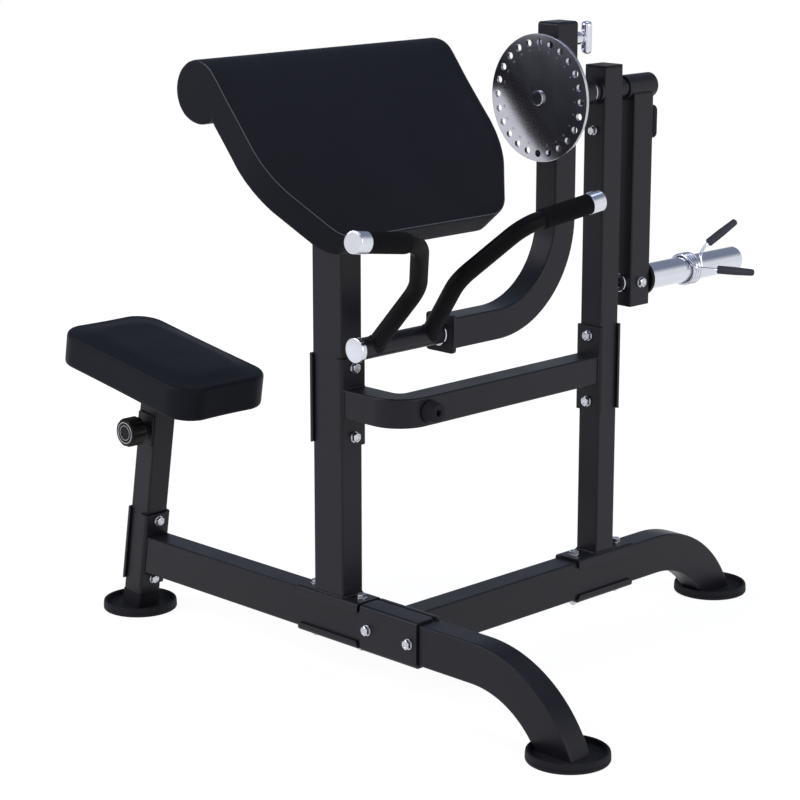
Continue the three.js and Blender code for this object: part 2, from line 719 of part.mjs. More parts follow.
// The bearing tube welded through the rear upright, with a boss on each side.
function bearingTube() {
  const front = REAR_UPRIGHT_Y - halfTube;
  const back = REAR_UPRIGHT_Y + halfTube;
  const on = (y) => at(SIDE_RAIL_X, y, PIVOT_Z);
  return join(
    rod(on(front - TUBE_WALL), on(back + TUBE_WALL), BEARING_TUBE_RADIUS),
    rod(on(FRONT_BEARING_Y), on(front + TUBE_WALL / 2), FRONT_BOSS_RADIUS - TUBE_WALL),
    rod(on(front - FRONT_BOSS_COLLAR), on(front + TUBE_WALL / 2), FRONT_BOSS_RADIUS),
    rod(on(back - TUBE_WALL / 2), on(REAR_BEARING_Y), REAR_BOSS_RADIUS - TUBE_WALL),
  );
}

function addRearUpright(group) {
  const saddleAt = at(SIDE_RAIL_X, REAR_UPRIGHT_Y, railTop + SEAT_GAP);
  const base = saddle(saddleAt, Y, 1, SADDLE_LENGTH, SADDLE_FLANGE);
  const top = REAR_UPRIGHT_TOP - PLUG_CAP - SEAT_GAP;
  const section = tubeSection(TUBE_WIDTH, TUBE_WIDTH);
  const foot = at(SIDE_RAIL_X, REAR_UPRIGHT_Y, saddleTop - PLATE / 2);
  const post = bar(foot, at(SIDE_RAIL_X, REAR_UPRIGHT_Y, top), section, Y);
  const bearingBore = rod(
    at(SIDE_RAIL_X, FRONT_BEARING_Y - OVERRUN, PIVOT_Z),
    at(SIDE_RAIL_X, REAR_BEARING_Y + OVERRUN, PIVOT_Z),
    BEARING_RADIUS + SEAT_GAP,
  );
  const stopBoltHole = rod(
    at(SIDE_RAIL_X, REAR_UPRIGHT_Y - TUBE_WIDTH, STOP_BOLT_Z),
    at(SIDE_RAIL_X, REAR_UPRIGHT_Y, STOP_BOLT_Z),
    STOP_BOLT_HOLE_RADIUS,
    HOLE_SIDES,
  );
  const whole = join(base, post, bearingTube());
  const bored = cut(whole, bearingBore, stopBoltHole, ...crossRearHoles());
  addPiece(group, "rear_upright", bored, BLACK_PAINT);
  addPiece(group, "rear_upright_plug", plug(SIDE_RAIL_X, REAR_UPRIGHT_Y, top + SEAT_GAP), PLASTIC);
}

// The cap that closes a square tube: a plate on its rim and a stub inside it.
function plug(x, y, z) {
  const inner = TUBE_WIDTH - 2 * TUBE_WALL - 2 * SEAT_GAP;
  const capShape = new THREE.Shape(roundedOutline(TUBE_WIDTH, TUBE_WIDTH, TUBE_CORNER));
  const stubShape = new THREE.Shape(rectangle(inner, inner));
  return join(
    bar(at(x, y, z), at(x, y, z + PLUG_CAP), capShape, Y),
    bar(at(x, y, z - PLUG_STUB), at(x, y, z + PLUG_CAP / 2), stubShape, Y),
  );
}

function addLooseBrackets(group) {
  const under = (centre, along) => saddle(centre, along, -1, UNDER_BRACKET_LENGTH, UNDER_BRACKET_FLANGE);
  const low = railBottom - SEAT_GAP;
  addPiece(group, "front_under_bracket", under(at(0, 0, low), X), BLACK_PAINT);
  addPiece(group, "rear_under_bracket", under(at(SIDE_RAIL_X, REAR_UPRIGHT_Y, low), Y), BLACK_PAINT);
  const clamp = bracket({
    length: CLAMP_LENGTH,
    tubeWidth: RAIL_HEIGHT,
    flange: CLAMP_NEAR_FLANGE,
    boltSpacing: CLAMP_BOLT_SPACING,
  });
  const clampAt = at(SIDE_RAIL_X, -halfTube - SEAT_GAP, RAIL_CENTRE_Z);
  addPiece(group, "rail_clamp_bracket", place(clamp, clampAt, Y.clone().negate(), X), BLACK_PAINT);
  const crossBack = bracket({
    length: CROSS_BRACKET_LENGTH,
    tubeWidth: TUBE_WIDTH,
    flange: CROSS_BACK_FLANGE,
    boltSpacing: CROSS_BOLT_SPACING,
  });
  const frontAt = at(-crossFrontFace, 0, CROSS_CENTRE_Z);
  const frontBack = place(crossBack, frontAt, X.clone().negate(), Z);
  addPiece(group, "cross_front_back_bracket", frontBack, BLACK_PAINT);
  const rearAt = at(SIDE_RAIL_X, REAR_UPRIGHT_Y + halfTube + SEAT_GAP, CROSS_CENTRE_Z);
  addPiece(group, "cross_rear_back_bracket", place(crossBack, rearAt, Y, Z), BLACK_PAINT);
}

function addCrossMember(group) {
  const path = new BentPath(
    [
      at(crossFrontFace + PLATE / 2, 0, CROSS_CENTRE_Z),
      at(SIDE_RAIL_X, 0, CROSS_CENTRE_Z),
      at(SIDE_RAIL_X, crossRearFace - PLATE / 2, CROSS_CENTRE_Z),
    ],
    [CROSS_BEND_RADIUS],
    Z,
    BEND_STEPS,
  );
  const tube = sweep(path, tubeSection(TUBE_WIDTH, CROSS_HEIGHT));
  const sizes = { length: CROSS_BRACKET_LENGTH, tubeWidth: TUBE_WIDTH, boltSpacing: CROSS_BOLT_SPACING };
  const front = bracket({ ...sizes, flange: CROSS_FRONT_FLANGE });
  const rear = bracket({ ...sizes, flange: CROSS_REAR_FLANGE });
  const whole = join(
    tube,
    place(front, at(crossFrontFace, 0, CROSS_CENTRE_Z), X, Z),
    place(rear, at(SIDE_RAIL_X, crossRearFace, CROSS_CENTRE_Z), Y.clone().negate(), Z),
  );
  const studX = SIDE_RAIL_X + halfTube;
  const studHole = rod(
    at(studX - BUMPER_STUD_LENGTH - OVERRUN / 2, BUMPER_Y, CROSS_CENTRE_Z),
    at(studX + OVERRUN, BUMPER_Y, CROSS_CENTRE_Z),
    BUMPER_STUD_RADIUS + SEAT_GAP,
    SHAFT_SIDES,
  );
  addPiece(group, "cross_member", cut(whole, studHole), BLACK_PAINT);
  const profile = [
    [0, -BUMPER_STUD_LENGTH],
    [BUMPER_STUD_RADIUS, -BUMPER_STUD_LENGTH],
    [BUMPER_STUD_RADIUS, SEAT_GAP],
    [BUMPER_BASE_RADIUS, SEAT_GAP],
    [BUMPER_TIP_RADIUS + BUMPER_EDGE / 3, BUMPER_LENGTH - BUMPER_EDGE],
    [BUMPER_TIP_RADIUS - BUMPER_EDGE, BUMPER_LENGTH],
    [BUMPER_BORE, BUMPER_LENGTH],
    [BUMPER_BORE, BUMPER_LENGTH - BUMPER_BORE_DEPTH],
    [0, BUMPER_LENGTH - BUMPER_BORE_DEPTH],
  ];
  addPiece(group, "cross_bumper", turned(profile, at(studX, BUMPER_Y, CROSS_CENTRE_Z), X), RUBBER);
}

function addFrameBolts(group) {
  const down = Z.clone().negate();
  const frontFoot = at(0, 0, saddleTop);
  addBoltPair(group, "front_upright_bolt", frontFoot, down, X, SADDLE_BOLT_SPACING, railJointGrip);
  const rearFoot = at(SIDE_RAIL_X, REAR_UPRIGHT_Y, saddleTop);
  addBoltPair(group, "rear_upright_bolt", rearFoot, down, Y, SADDLE_BOLT_SPACING, railJointGrip);
  const clampAt = at(SIDE_RAIL_X, -bracketOuter, RAIL_CENTRE_Z);
  addBoltPair(group, "junction_bolt", clampAt, Y, X, CLAMP_BOLT_SPACING, 2 * bracketOuter);
  const crossFront = at(crossFrontFace + PLATE, 0, CROSS_CENTRE_Z);
  const towardsSeat = X.clone().negate();
  const crossGrip = 2 * (crossFrontFace + PLATE);
  addBoltPair(group, "cross_front_bolt", crossFront, towardsSeat, Z, CROSS_BOLT_SPACING, crossGrip);
  const crossRear = at(SIDE_RAIL_X, crossRearFace - PLATE, CROSS_CENTRE_Z);
  addBoltPair(group, "cross_rear_bolt", crossRear, Y, Z, CROSS_BOLT_SPACING, 2 * bracketOuter);
}

// Half of a dish's section, from the middle of its underside to the middle of its floor.
function dishProfile() {
  return [
    [0, 0],
    [FOOT_RADIUS - FOOT_EDGE, 0],
    [FOOT_RADIUS, FOOT_EDGE],
    [FOOT_RADIUS - FOOT_EDGE / 3, FOOT_HEIGHT - FOOT_EDGE],
    [FOOT_RADIUS - FOOT_EDGE, FOOT_HEIGHT],
    [FOOT_RADIUS - FOOT_RIM, FOOT_HEIGHT],
    [FOOT_RADIUS - FOOT_RIM - FOOT_EDGE, FOOT_BASE],
    [0, FOOT_BASE],
  ];
}

function addFeet(group) {
  const dish = turned(dishProfile(), at(0, 0, 0), Y, FOOT_SIDES).rotateX(Math.PI / 2);
  addPiece(group, "front_foot", dish.clone().translate(frontFootX, 0, 0), RUBBER);
  addPiece(group, "rear_foot", dish.clone().translate(SIDE_RAIL_X, rearFootY, 0), RUBBER);
  const inner = TUBE_WIDTH - 2 * TUBE_WALL - 2 * SEAT_GAP;
  const bootShape = new THREE.Shape(roundedOutline(BOOT_WIDTH, BOOT_WIDTH, TUBE_CORNER));
  const boot = join(
    bar(at(0, 0, -OVERRUN), at(0, 0, BOOT_HEIGHT), bootShape, Y),
    bar(at(0, 0, 0), at(0, 0, BOOT_HEIGHT + BOOT_STUB), new THREE.Shape(rectangle(inner, inner)), Y),
  ).applyMatrix4(postFrame);
  const below = block(
    [POST_FOOT_X - FOOT_RADIUS, POST_FOOT_X + FOOT_RADIUS],
    [-FOOT_RADIUS, FOOT_RADIUS],
    [-FOOT_RADIUS, FOOT_BASE / 2],
  );
  const seatFoot = join(dish.clone().translate(POST_FOOT_X, 0, 0), cut(boot, below));
  addPiece(group, "seat_foot", seatFoot, RUBBER);
}

// The group of the seat post: its origin is on the floor and its +Z runs up the post.
function seatPostGroup() {
  const group = new THREE.Group();
  group.position.set(POST_FOOT_X, 0, 0);
  group.rotation.y = radians(POST_LEAN_DEGREES);
  addSeatPost(group);
  addSeatPin(group);
  addSeat(group);
  return group;
}

function addSeatPost(group) {
  const section = tubeSection(TUBE_WIDTH, TUBE_WIDTH);
  const tube = bar(at(0, 0, BOOT_HEIGHT + SEAT_GAP), at(0, 0, POST_TOP), section, Y);
  const outer = halfTube + SEAT_GAP + PLATE;
  const holes = boltHoles(at(-outer, 0, POST_BRACKET_ALONG), X, Z, POST_BOLT_SPACING, 2 * outer);
  const pinHole = rod(
    at(0, -TUBE_WIDTH, KNOB_ALONG),
    at(0, 0, KNOB_ALONG),
    PIN_COLLAR_RADIUS - PIN_PLATE_THICKNESS + SEAT_GAP,
  );
  addPiece(group, "seat_post", cut(tube, ...holes, pinHole), BLACK_PAINT);
  addPiece(group, "seat_post_back_bracket", postBracket(-1, POST_BACK_FLANGE), BLACK_PAINT);
  const boltAt = at(outer, 0, POST_BRACKET_ALONG);
  const backwards = X.clone().negate();
  addBoltPair(group, "seat_post_bolt", boltAt, backwards, Z, POST_BOLT_SPACING, 2 * outer);
}

// A knob's outline with shallow round flutes.
function knobOutline() {
  const points = [];
  const count = KNOB_FLUTES * KNOB_POINTS_PER_FLUTE;
  for (let i = 0; i < count; i++) {
    const angle = (2 * Math.PI * i) / count;
    const dip = KNOB_FLUTE_DEPTH * Math.max(0, Math.cos(KNOB_FLUTES * angle)) ** 2;
    const radius = KNOB_RADIUS - dip - KNOB_EDGE / 2;
    points.push(new THREE.Vector2(radius * Math.cos(angle), radius * Math.sin(angle)));
  }
  return points;
}

function addSeatPin(group) {
  const face = -halfTube - SEAT_GAP;
  const on = (y) => at(0, y, KNOB_ALONG);
  const plateShape = new THREE.Shape(roundedOutline(PIN_PLATE_WIDTH, PIN_PLATE_LENGTH, TUBE_CORNER));
  const threadRadius = PIN_COLLAR_RADIUS - PIN_PLATE_THICKNESS;
  const housing = join(
    bar(on(face), on(face - PIN_PLATE_THICKNESS), plateShape, Z),
    rod(on(face - PIN_PLATE_THICKNESS / 2), on(PIN_COLLAR_END_Y), PIN_COLLAR_RADIUS),
    rod(on(face + TUBE_WALL), on(face - PIN_PLATE_THICKNESS / 2), threadRadius),
  );
  const pinBore = SEAT_PIN_RADIUS + SEAT_GAP;
  const bore = rod(on(face + OVERRUN), on(PIN_COLLAR_END_Y - OVERRUN), pinBore, PIN_SIDES);
  addPiece(group, "seat_pin_housing", cut(housing, bore), BLACK_PAINT);
  const tip = -INNER_POST_WIDTH / 2 - RUNNING_GAP;
  const boreFloor = KNOB_BASE_Y - KNOB_BORE_DEPTH;
  const pin = rod(on(tip), on(boreFloor - PIN_THREAD_DEPTH), SEAT_PIN_RADIUS, PIN_SIDES);
  addPiece(group, "seat_pin", pin, CHROME);
  const bevel = {
    depth: KNOB_LENGTH - 2 * KNOB_EDGE,
    bevelThickness: KNOB_EDGE,
    bevelSize: KNOB_EDGE / 2,
    bevelSegments: BEVEL_STEPS,
  };
  const body = new THREE.ExtrudeGeometry(new THREE.Shape(knobOutline()), bevel);
  const knob = cut(
    place(body.translate(0, 0, KNOB_EDGE), on(KNOB_BASE_Y), X.clone().negate(), Z.clone().negate()),
    rod(on(KNOB_BASE_Y + OVERRUN), on(boreFloor), KNOB_BORE_RADIUS),
    rod(on(KNOB_BASE_Y), on(boreFloor - PIN_THREAD_DEPTH - SEAT_GAP), pinBore, PIN_SIDES),
  );
  addPiece(group, "seat_knob", knob, PLASTIC);
}

// Points round the seat's outline, with sides drawn in a little between the corners.
function seatOutline(inset) {
  const corner = SEAT_CORNER - inset;
  const points = [];
  for (let quarter = 0; quarter < 4; quarter++) {
    const right = quarter === 0 || quarter === 3 ? 1 : -1;
    const up = quarter < 2 ? 1 : -1;
    const centre = [right * (SEAT_LENGTH / 2 - SEAT_CORNER), up * (SEAT_WIDTH / 2 - SEAT_CORNER)];
    for (let step = 0; step <= SEAT_CORNER_STEPS; step++) {
      const angle = ((quarter + step / SEAT_CORNER_STEPS) * Math.PI) / 2;
      const x = centre[0] + corner * Math.cos(angle);
      points.push(new THREE.Vector2(x, centre[1] + corner * Math.sin(angle)));
    }
    const alongX = quarter % 2 === 0;
    const span = alongX ? SEAT_LENGTH - 2 * SEAT_CORNER : SEAT_WIDTH - 2 * SEAT_CORNER;
    for (let step = 1; step < SEAT_SIDE_STEPS; step++) {
      const t = step / SEAT_SIDE_STEPS;
      const draw = SEAT_DRAW * Math.sin(Math.PI * t);
      const last = points[points.length - step];
      points.push(alongX
        ? new THREE.Vector2(last.x - right * span * t, last.y - up * draw)
        : new THREE.Vector2(last.x - right * draw, last.y - up * span * t));
    }
  }
  return points;
}

// A closed skin over rings of points, each end closed by its own ring's middle.
function skin(rings) {
  const count = rings[0].length;
  const positions = rings.flat().flatMap((point) => point.toArray());
  const index = [];
  for (let ring = 0; ring + 1 < rings.length; ring++) {
    for (let i = 0; i < count; i++) {
      const next = (i + 1) % count;
      const [a, b] = [ring * count + i, ring * count + next];
      index.push(a, b, b + count, a, b + count, a + count);
    }
  }
  for (const end of [0, rings.length - 1]) {
    const middle = positions.length / 3;
    const centre = rings[end].reduce((sum, point) => sum.add(point), at(0, 0, 0)).divideScalar(count);
    positions.push(...centre.toArray());
    for (let i = 0; i < count; i++) {
      const [a, b] = [end * count + i, end * count + ((i + 1) % count)];
      index.push(...(end === 0 ? [middle, b, a] : [middle, a, b]));
    }
  }
  const geometry = new THREE.BufferGeometry();
  geometry.setAttribute("position", new THREE.Float32BufferAttribute(positions, 3));
  geometry.setIndex(index);
  return geometry;
}

// The cushion from its underside to its crown, each ring an outline at a height.
function seatCushion() {
  const ring = (inset, height) => seatOutline(inset).map((p) => at(p.x, p.y, height));
  const rings = [];
  for (let step = 0; step <= SEAT_BOTTOM_STEPS; step++) {
    const angle = (step / SEAT_BOTTOM_STEPS) * (Math.PI / 2);
    const inset = SEAT_BOTTOM_EDGE * (1 - Math.sin(angle));
    rings.push(ring(inset, SEAT_BOTTOM_EDGE * (1 - Math.cos(angle))));
  }
  const shoulder = SEAT_THICKNESS - SEAT_CROWN - SEAT_TOP_EDGE;
  for (let step = 0; step <= SEAT_EDGE_STEPS; step++) {
    const angle = (step / SEAT_EDGE_STEPS) * (Math.PI / 2);
    const inset = SEAT_TOP_EDGE * (1 - Math.cos(angle));
    rings.push(ring(inset, shoulder + SEAT_TOP_EDGE * Math.sin(angle)));
  }
  const rim = seatOutline(SEAT_TOP_EDGE);
  for (const share of SEAT_TOP_SHARES) {
    const height = SEAT_THICKNESS - SEAT_CROWN * share ** 2;
    rings.push(rim.map((p) => at(p.x * share, p.y * share, height)));
  }
  return skin(rings);
}

function addSeat(group) {
  const seat = new THREE.Group();
  seat.position.set(SEAT_FORWARD, 0, SEAT_UNDERSIDE);
  const boardLength = SEAT_LENGTH - 2 * SEAT_BOARD_INSET;
  const boardWidth = SEAT_WIDTH - 2 * SEAT_BOARD_INSET;
  const boardShape = (extra) => {
    const corner = SEAT_CORNER - SEAT_BOARD_INSET;
    const [length, width] = [boardLength + 2 * extra, boardWidth + 2 * extra];
    return new THREE.Shape(roundedOutline(length, width, corner, BOARD_CORNER_STEPS));
  };
  const pocketTop = at(0, 0, SEAT_BOARD_THICKNESS + SEAT_GAP);
  const pocket = bar(at(0, 0, -OVERRUN), pocketTop, boardShape(SEAT_GAP), Y);
  const board = bar(at(0, 0, 0), at(0, 0, SEAT_BOARD_THICKNESS), boardShape(0), Y);
  addPiece(seat, "seat_cushion", cut(seatCushion(), pocket), VINYL);
  addPiece(seat, "seat_board", board, PLYWOOD);
  group.add(seat);
  const plateTop = SEAT_UNDERSIDE - SEAT_GAP;
  const plate = block(
    [SEAT_FORWARD - SEAT_PLATE_LENGTH / 2, SEAT_FORWARD + SEAT_PLATE_LENGTH / 2],
    [-SEAT_PLATE_WIDTH / 2, SEAT_PLATE_WIDTH / 2],
    [plateTop - PLATE, plateTop],
  );
  const outline = new THREE.Shape(rectangle(INNER_POST_WIDTH, INNER_POST_WIDTH));
  const hollow = INNER_POST_WIDTH - 2 * TUBE_WALL;
  outline.holes.push(new THREE.Path(rectangle(hollow, hollow)));
  const post = bar(at(0, 0, INNER_POST_BOTTOM), at(0, 0, plateTop - PLATE / 2), outline, Y);
  const holes = [];
  for (let i = 0; i < SEAT_HOLE_COUNT; i++) {
    const height = KNOB_ALONG - i * SEAT_HOLE_PITCH;
    holes.push(rod(at(0, -TUBE_WIDTH, height), at(0, 0, height), SEAT_PIN_HOLE_RADIUS, PIN_SIDES));
  }
  addPiece(group, "seat_inner_post", cut(join(post, plate), ...holes), POLISHED_STEEL);
}

// Half the pad's width at a distance down the slope from the roll's axis.
function padHalfWidth(along) {
  const taper = radians(PAD_TAPER_DEGREES);
  const tangentLength = PAD_TAPER_RADIUS * Math.tan(taper / 2);
  const arcStart = PAD_TAPER_START - tangentLength;
  const arcEnd = PAD_TAPER_START + tangentLength * Math.cos(taper);
  const straight = along > 0 && along < arcStart;
  let half = PAD_HALF_WIDTH - (straight ? PAD_DRAW * Math.sin((Math.PI * along) / arcStart) : 0);
  if (along > arcEnd) {
    half = PAD_HALF_WIDTH - (along - PAD_TAPER_START) * Math.tan(taper);
  } else if (along > arcStart) {
    half = PAD_HALF_WIDTH - PAD_TAPER_RADIUS + Math.sqrt(PAD_TAPER_RADIUS ** 2 - (along - arcStart) ** 2);
  }
  const past = along - (SLAB_LENGTH - PAD_END_CORNER);
  if (past > 0) {
    half -= PAD_END_CORNER - Math.sqrt(PAD_END_CORNER ** 2 - Math.min(past, PAD_END_CORNER) ** 2);
  }
  return half;
}

// The pad's section, looking along +Y: x down the slope and z out of it. Each point has its outward
// direction, so that the rounded ends can be drawn in.
function padSection() {
  const points = [];
  const add = (x, z, nx, nz, crown) => points.push({ x, z, nx, nz, crown });
  const arc = (centreX, centreZ, radius, from, to, steps) => {
    for (let step = 0; step <= steps; step++) {
      const angle = radians(from + ((to - from) * step) / steps);
      const [nx, nz] = [Math.cos(angle), Math.sin(angle)];
      add(centreX + radius * nx, centreZ + radius * nz, nx, nz, 0);
    }
  };
  arc(SLAB_LENGTH - PAD_BACK_EDGE, slabBack + PAD_BACK_EDGE, PAD_BACK_EDGE, -90, 0, PAD_EDGE_STEPS);
  const frontZ = ROLL_RADIUS - PAD_FRONT_EDGE;
  arc(SLAB_LENGTH - PAD_FRONT_EDGE, frontZ, PAD_FRONT_EDGE, 0, 90, PAD_EDGE_STEPS);
  const span = SLAB_LENGTH - PAD_FRONT_EDGE;
  for (let step = 1; step < PAD_SLAB_STEPS; step++) {
    const t = step / PAD_SLAB_STEPS;
    add(span * (1 - t), ROLL_RADIUS, 0, 1, Math.sin(Math.PI * t));
  }
  const rollEnd = radians(360) + Math.asin(slabBack / ROLL_RADIUS);
  arc(0, 0, ROLL_RADIUS, 90, THREE.MathUtils.radToDeg(rollEnd), PAD_ROLL_STEPS);
  const inner = points[points.length - 1].x;
  for (let step = 1; step < PAD_SLAB_STEPS; step++) {
    const t = step / PAD_SLAB_STEPS;
    add(inner + (SLAB_LENGTH - PAD_BACK_EDGE - inner) * t, slabBack, 0, -1, 0);
  }
  return points;
}

function padSkin() {
  const section = padSection().reverse();
  const ring = (share, sideInset, drawnIn) =>
    section.map(({ x, z, nx, nz, crown }) => {
      const half = padHalfWidth(x) - sideInset;
      const rise = PAD_CROWN * crown * (1 - share ** 2);
      return at(x - nx * drawnIn, share * half, z - nz * drawnIn + rise);
    });
  const rings = [];
  const sideRings = (side) => {
    const steps = [...Array(PAD_EDGE_STEPS + 1).keys()];
    const made = steps.map((step) => {
      const angle = (step / PAD_EDGE_STEPS) * (Math.PI / 2);
      return ring(side, PAD_EDGE * (1 - Math.cos(angle)), PAD_EDGE * (1 - Math.sin(angle)));
    });
    return side < 0 ? made : made.reverse();
  };
  rings.push(...sideRings(-1));
  for (let step = 1; step < PAD_ACROSS_STEPS; step++) {
    rings.push(ring((2 * step) / PAD_ACROSS_STEPS - 1, PAD_EDGE, 0));
  }
  rings.push(...sideRings(1));
  return skin(rings);
}

// The group of the arm pad: its origin is on the roll's axis, +X runs down the slope and +Z out of it.
function armPadGroup() {
  const group = new THREE.Group();
  group.position.set(ROLL_X, 0, ROLL_Z);
  group.rotation.y = radians(PAD_SLOPE_DEGREES);
  const middle = (PAD_BOARD_START + PAD_BOARD_END) / 2;
  const boardShape = (extra) => {
    const length = PAD_BOARD_END - PAD_BOARD_START + 2 * extra;
    const width = 2 * (PAD_BOARD_HALF_WIDTH + extra);
    return new THREE.Shape(roundedOutline(length, width, PAD_BOARD_CORNER, BOARD_CORNER_STEPS));
  };
  const boardTop = slabBack + PAD_BOARD_THICKNESS;
  const pocketTop = at(middle, 0, boardTop + SEAT_GAP);
  const pocket = bar(at(middle, 0, -ROLL_RADIUS), pocketTop, boardShape(SEAT_GAP), Y);
  const board = bar(at(middle, 0, slabBack), at(middle, 0, boardTop), boardShape(0), Y);
  addPiece(group, "arm_pad", cut(padSkin(), pocket), VINYL);
  addPiece(group, "arm_pad_board", board, PLYWOOD);
  return group;
}

// A flanged bush: the sleeve lies inside the bearing tube and the flange outside it.
function bearing(y, outwards, flangeRadius) {
  const face = y + outwards * SEAT_GAP;
  const on = (distance) => at(SIDE_RAIL_X, face + outwards * distance, PIVOT_Z);
  const sleeve = rod(on(-BEARING_SLEEVE), on(BEARING_FLANGE / 2), BEARING_RADIUS);
  const flange = rod(on(0), on(BEARING_FLANGE), flangeRadius);
  const bore = rod(on(-BEARING_SLEEVE - OVERRUN), on(OVERRUN), SHAFT_RADIUS + RUNNING_GAP);
  return cut(join(sleeve, flange), bore);
}

function addShaft(group) {
  const on = (y) => at(SIDE_RAIL_X, y, PIVOT_Z);
  const length = SHAFT_END_Y - SHAFT_START_Y;
  const profile = [
    [0, 0],
    [SHAFT_RADIUS - SHAFT_CHAMFER, 0],
    [SHAFT_RADIUS, SHAFT_CHAMFER],
    [SHAFT_RADIUS, length - SHAFT_CHAMFER],
    [SHAFT_RADIUS - SHAFT_CHAMFER, length],
    [0, length],
  ];
  addPiece(group, "main_shaft", turned(profile, on(SHAFT_START_Y), Y), POLISHED_STEEL);
  const front = bearing(FRONT_BEARING_Y, -1, FRONT_BEARING_FLANGE_RADIUS);
  const rear = bearing(REAR_BEARING_Y, 1, REAR_BEARING_FLANGE_RADIUS);
  addPiece(group, "front_bearing", front, POLISHED_STEEL);
  addPiece(group, "rear_bearing", rear, POLISHED_STEEL);
}

function addIndexDisc(group) {
  const on = (y) => at(SIDE_RAIL_X, DISC_Y + y, PIVOT_Z);
  const plate = rod(on(0), on(DISC_THICKNESS), DISC_RADIUS, DISC_SIDES);
  const boss = rod(on(DISC_THICKNESS / 2), on(DISC_THICKNESS + DISC_BOSS), DISC_BOSS_RADIUS);
  const bore = rod(on(-OVERRUN), on(DISC_THICKNESS + DISC_BOSS + OVERRUN), SHAFT_RADIUS + SEAT_GAP);
  const holes = [bore];
  for (let i = 0; i < DISC_HOLE_COUNT; i++) {
    const angle = (2 * Math.PI * i) / DISC_HOLE_COUNT;
    const x = SIDE_RAIL_X + DISC_HOLE_CIRCLE * Math.sin(angle);
    const z = PIVOT_Z + DISC_HOLE_CIRCLE * Math.cos(angle);
    const start = at(x, DISC_Y - OVERRUN, z);
    const end = at(x, DISC_Y + DISC_THICKNESS + OVERRUN, z);
    holes.push(rod(start, end, DISC_HOLE_RADIUS, DISC_HOLE_SIDES));
  }
  addPiece(group, "index_disc", cut(join(plate, boss), ...holes), POLISHED_STEEL);
}

function addStopBolt(group) {
  const on = (y) => at(SIDE_RAIL_X, y, STOP_BOLT_Z);
  const face = REAR_UPRIGHT_Y - halfTube - SEAT_GAP;
  const washerEnd = face - STOP_BOLT_WASHER;
  const bolt = join(
    rod(on(face), on(washerEnd), STOP_BOLT_WASHER_RADIUS, WASHER_SIDES),
    hexagonalPrism(on(washerEnd), on(washerEnd - STOP_BOLT_HEAD), STOP_BOLT_HEAD_ACROSS),
    rod(on(washerEnd), on(face + STOP_BOLT_SHANK), STOP_BOLT_RADIUS, BOLT_SIDES),
  );
  addPiece(group, "stop_bolt", bolt, CHROME);
}

const popPinZ = PIVOT_Z + DISC_HOLE_CIRCLE;
const leverTop = popPinZ + LEVER_HEAD;
const discBack = DISC_Y + DISC_THICKNESS;
const leverBack = LEVER_Y + LEVER_DEPTH / 2;
const shaftBore = () =>
  rod(
    at(SIDE_RAIL_X, DISC_Y, PIVOT_Z),
    at(SIDE_RAIL_X, WEIGHT_HUB_END_Y + OVERRUN, PIVOT_Z),
    SHAFT_RADIUS + RUNNING_GAP,
  );

function addLever(group) {
  const endPlateFace = LEVER_ARM_END_Y - END_PLATE_THICKNESS;
  const path = new BentPath(
    [
      at(SIDE_RAIL_X, LEVER_Y, leverTop - TUBE_WALL / 2),
      at(SIDE_RAIL_X, LEVER_Y, LEVER_ARM_Z),
      at(SIDE_RAIL_X, LEVER_ARM_END_Y - END_PLATE_THICKNESS / 2, LEVER_ARM_Z),
    ],
    [LEVER_BEND_RADIUS],
    X,
    LEG_STEPS,
  );
  const topShape = new THREE.Shape(roundedOutline(TUBE_WIDTH, LEVER_DEPTH, TUBE_CORNER));
  const topCap = bar(
    at(SIDE_RAIL_X, LEVER_Y, leverTop - TUBE_WALL),
    at(SIDE_RAIL_X, LEVER_Y, leverTop),
    topShape,
    Y,
  );
  const plateShape = new THREE.Shape(roundedOutline(END_PLATE_WIDTH, END_PLATE_WIDTH, BRACKET_END_RADIUS));
  const endPlate = bar(
    at(SIDE_RAIL_X, LEVER_ARM_END_Y, LEVER_ARM_Z),
    at(SIDE_RAIL_X, endPlateFace, LEVER_ARM_Z),
    plateShape,
    Z,
  );
  const hubStart = discBack + DISC_BOSS + SEAT_GAP;
  const hub = rod(
    at(SIDE_RAIL_X, hubStart, PIVOT_Z),
    at(SIDE_RAIL_X, LEVER_HUB_END_Y, PIVOT_Z),
    LEVER_HUB_RADIUS,
  );
  const pinHole = rod(
    at(SIDE_RAIL_X, LEVER_Y - LEVER_DEPTH, popPinZ),
    at(SIDE_RAIL_X, LEVER_Y + LEVER_DEPTH, popPinZ),
    POP_PIN_RADIUS + SEAT_GAP,
    PIN_SIDES,
  );
  const axleHole = rod(
    at(SIDE_RAIL_X, endPlateFace - OVERRUN, LEVER_ARM_Z),
    at(SIDE_RAIL_X, LEVER_ARM_END_Y + OVERRUN, LEVER_ARM_Z),
    AXLE_RADIUS + SEAT_GAP,
  );
  const whole = join(sweep(path, tubeSection(LEVER_DEPTH, TUBE_WIDTH)), topCap, endPlate, hub);
  addPiece(group, "lever", cut(whole, shaftBore(), pinHole, axleHole), BLACK_PAINT);
}

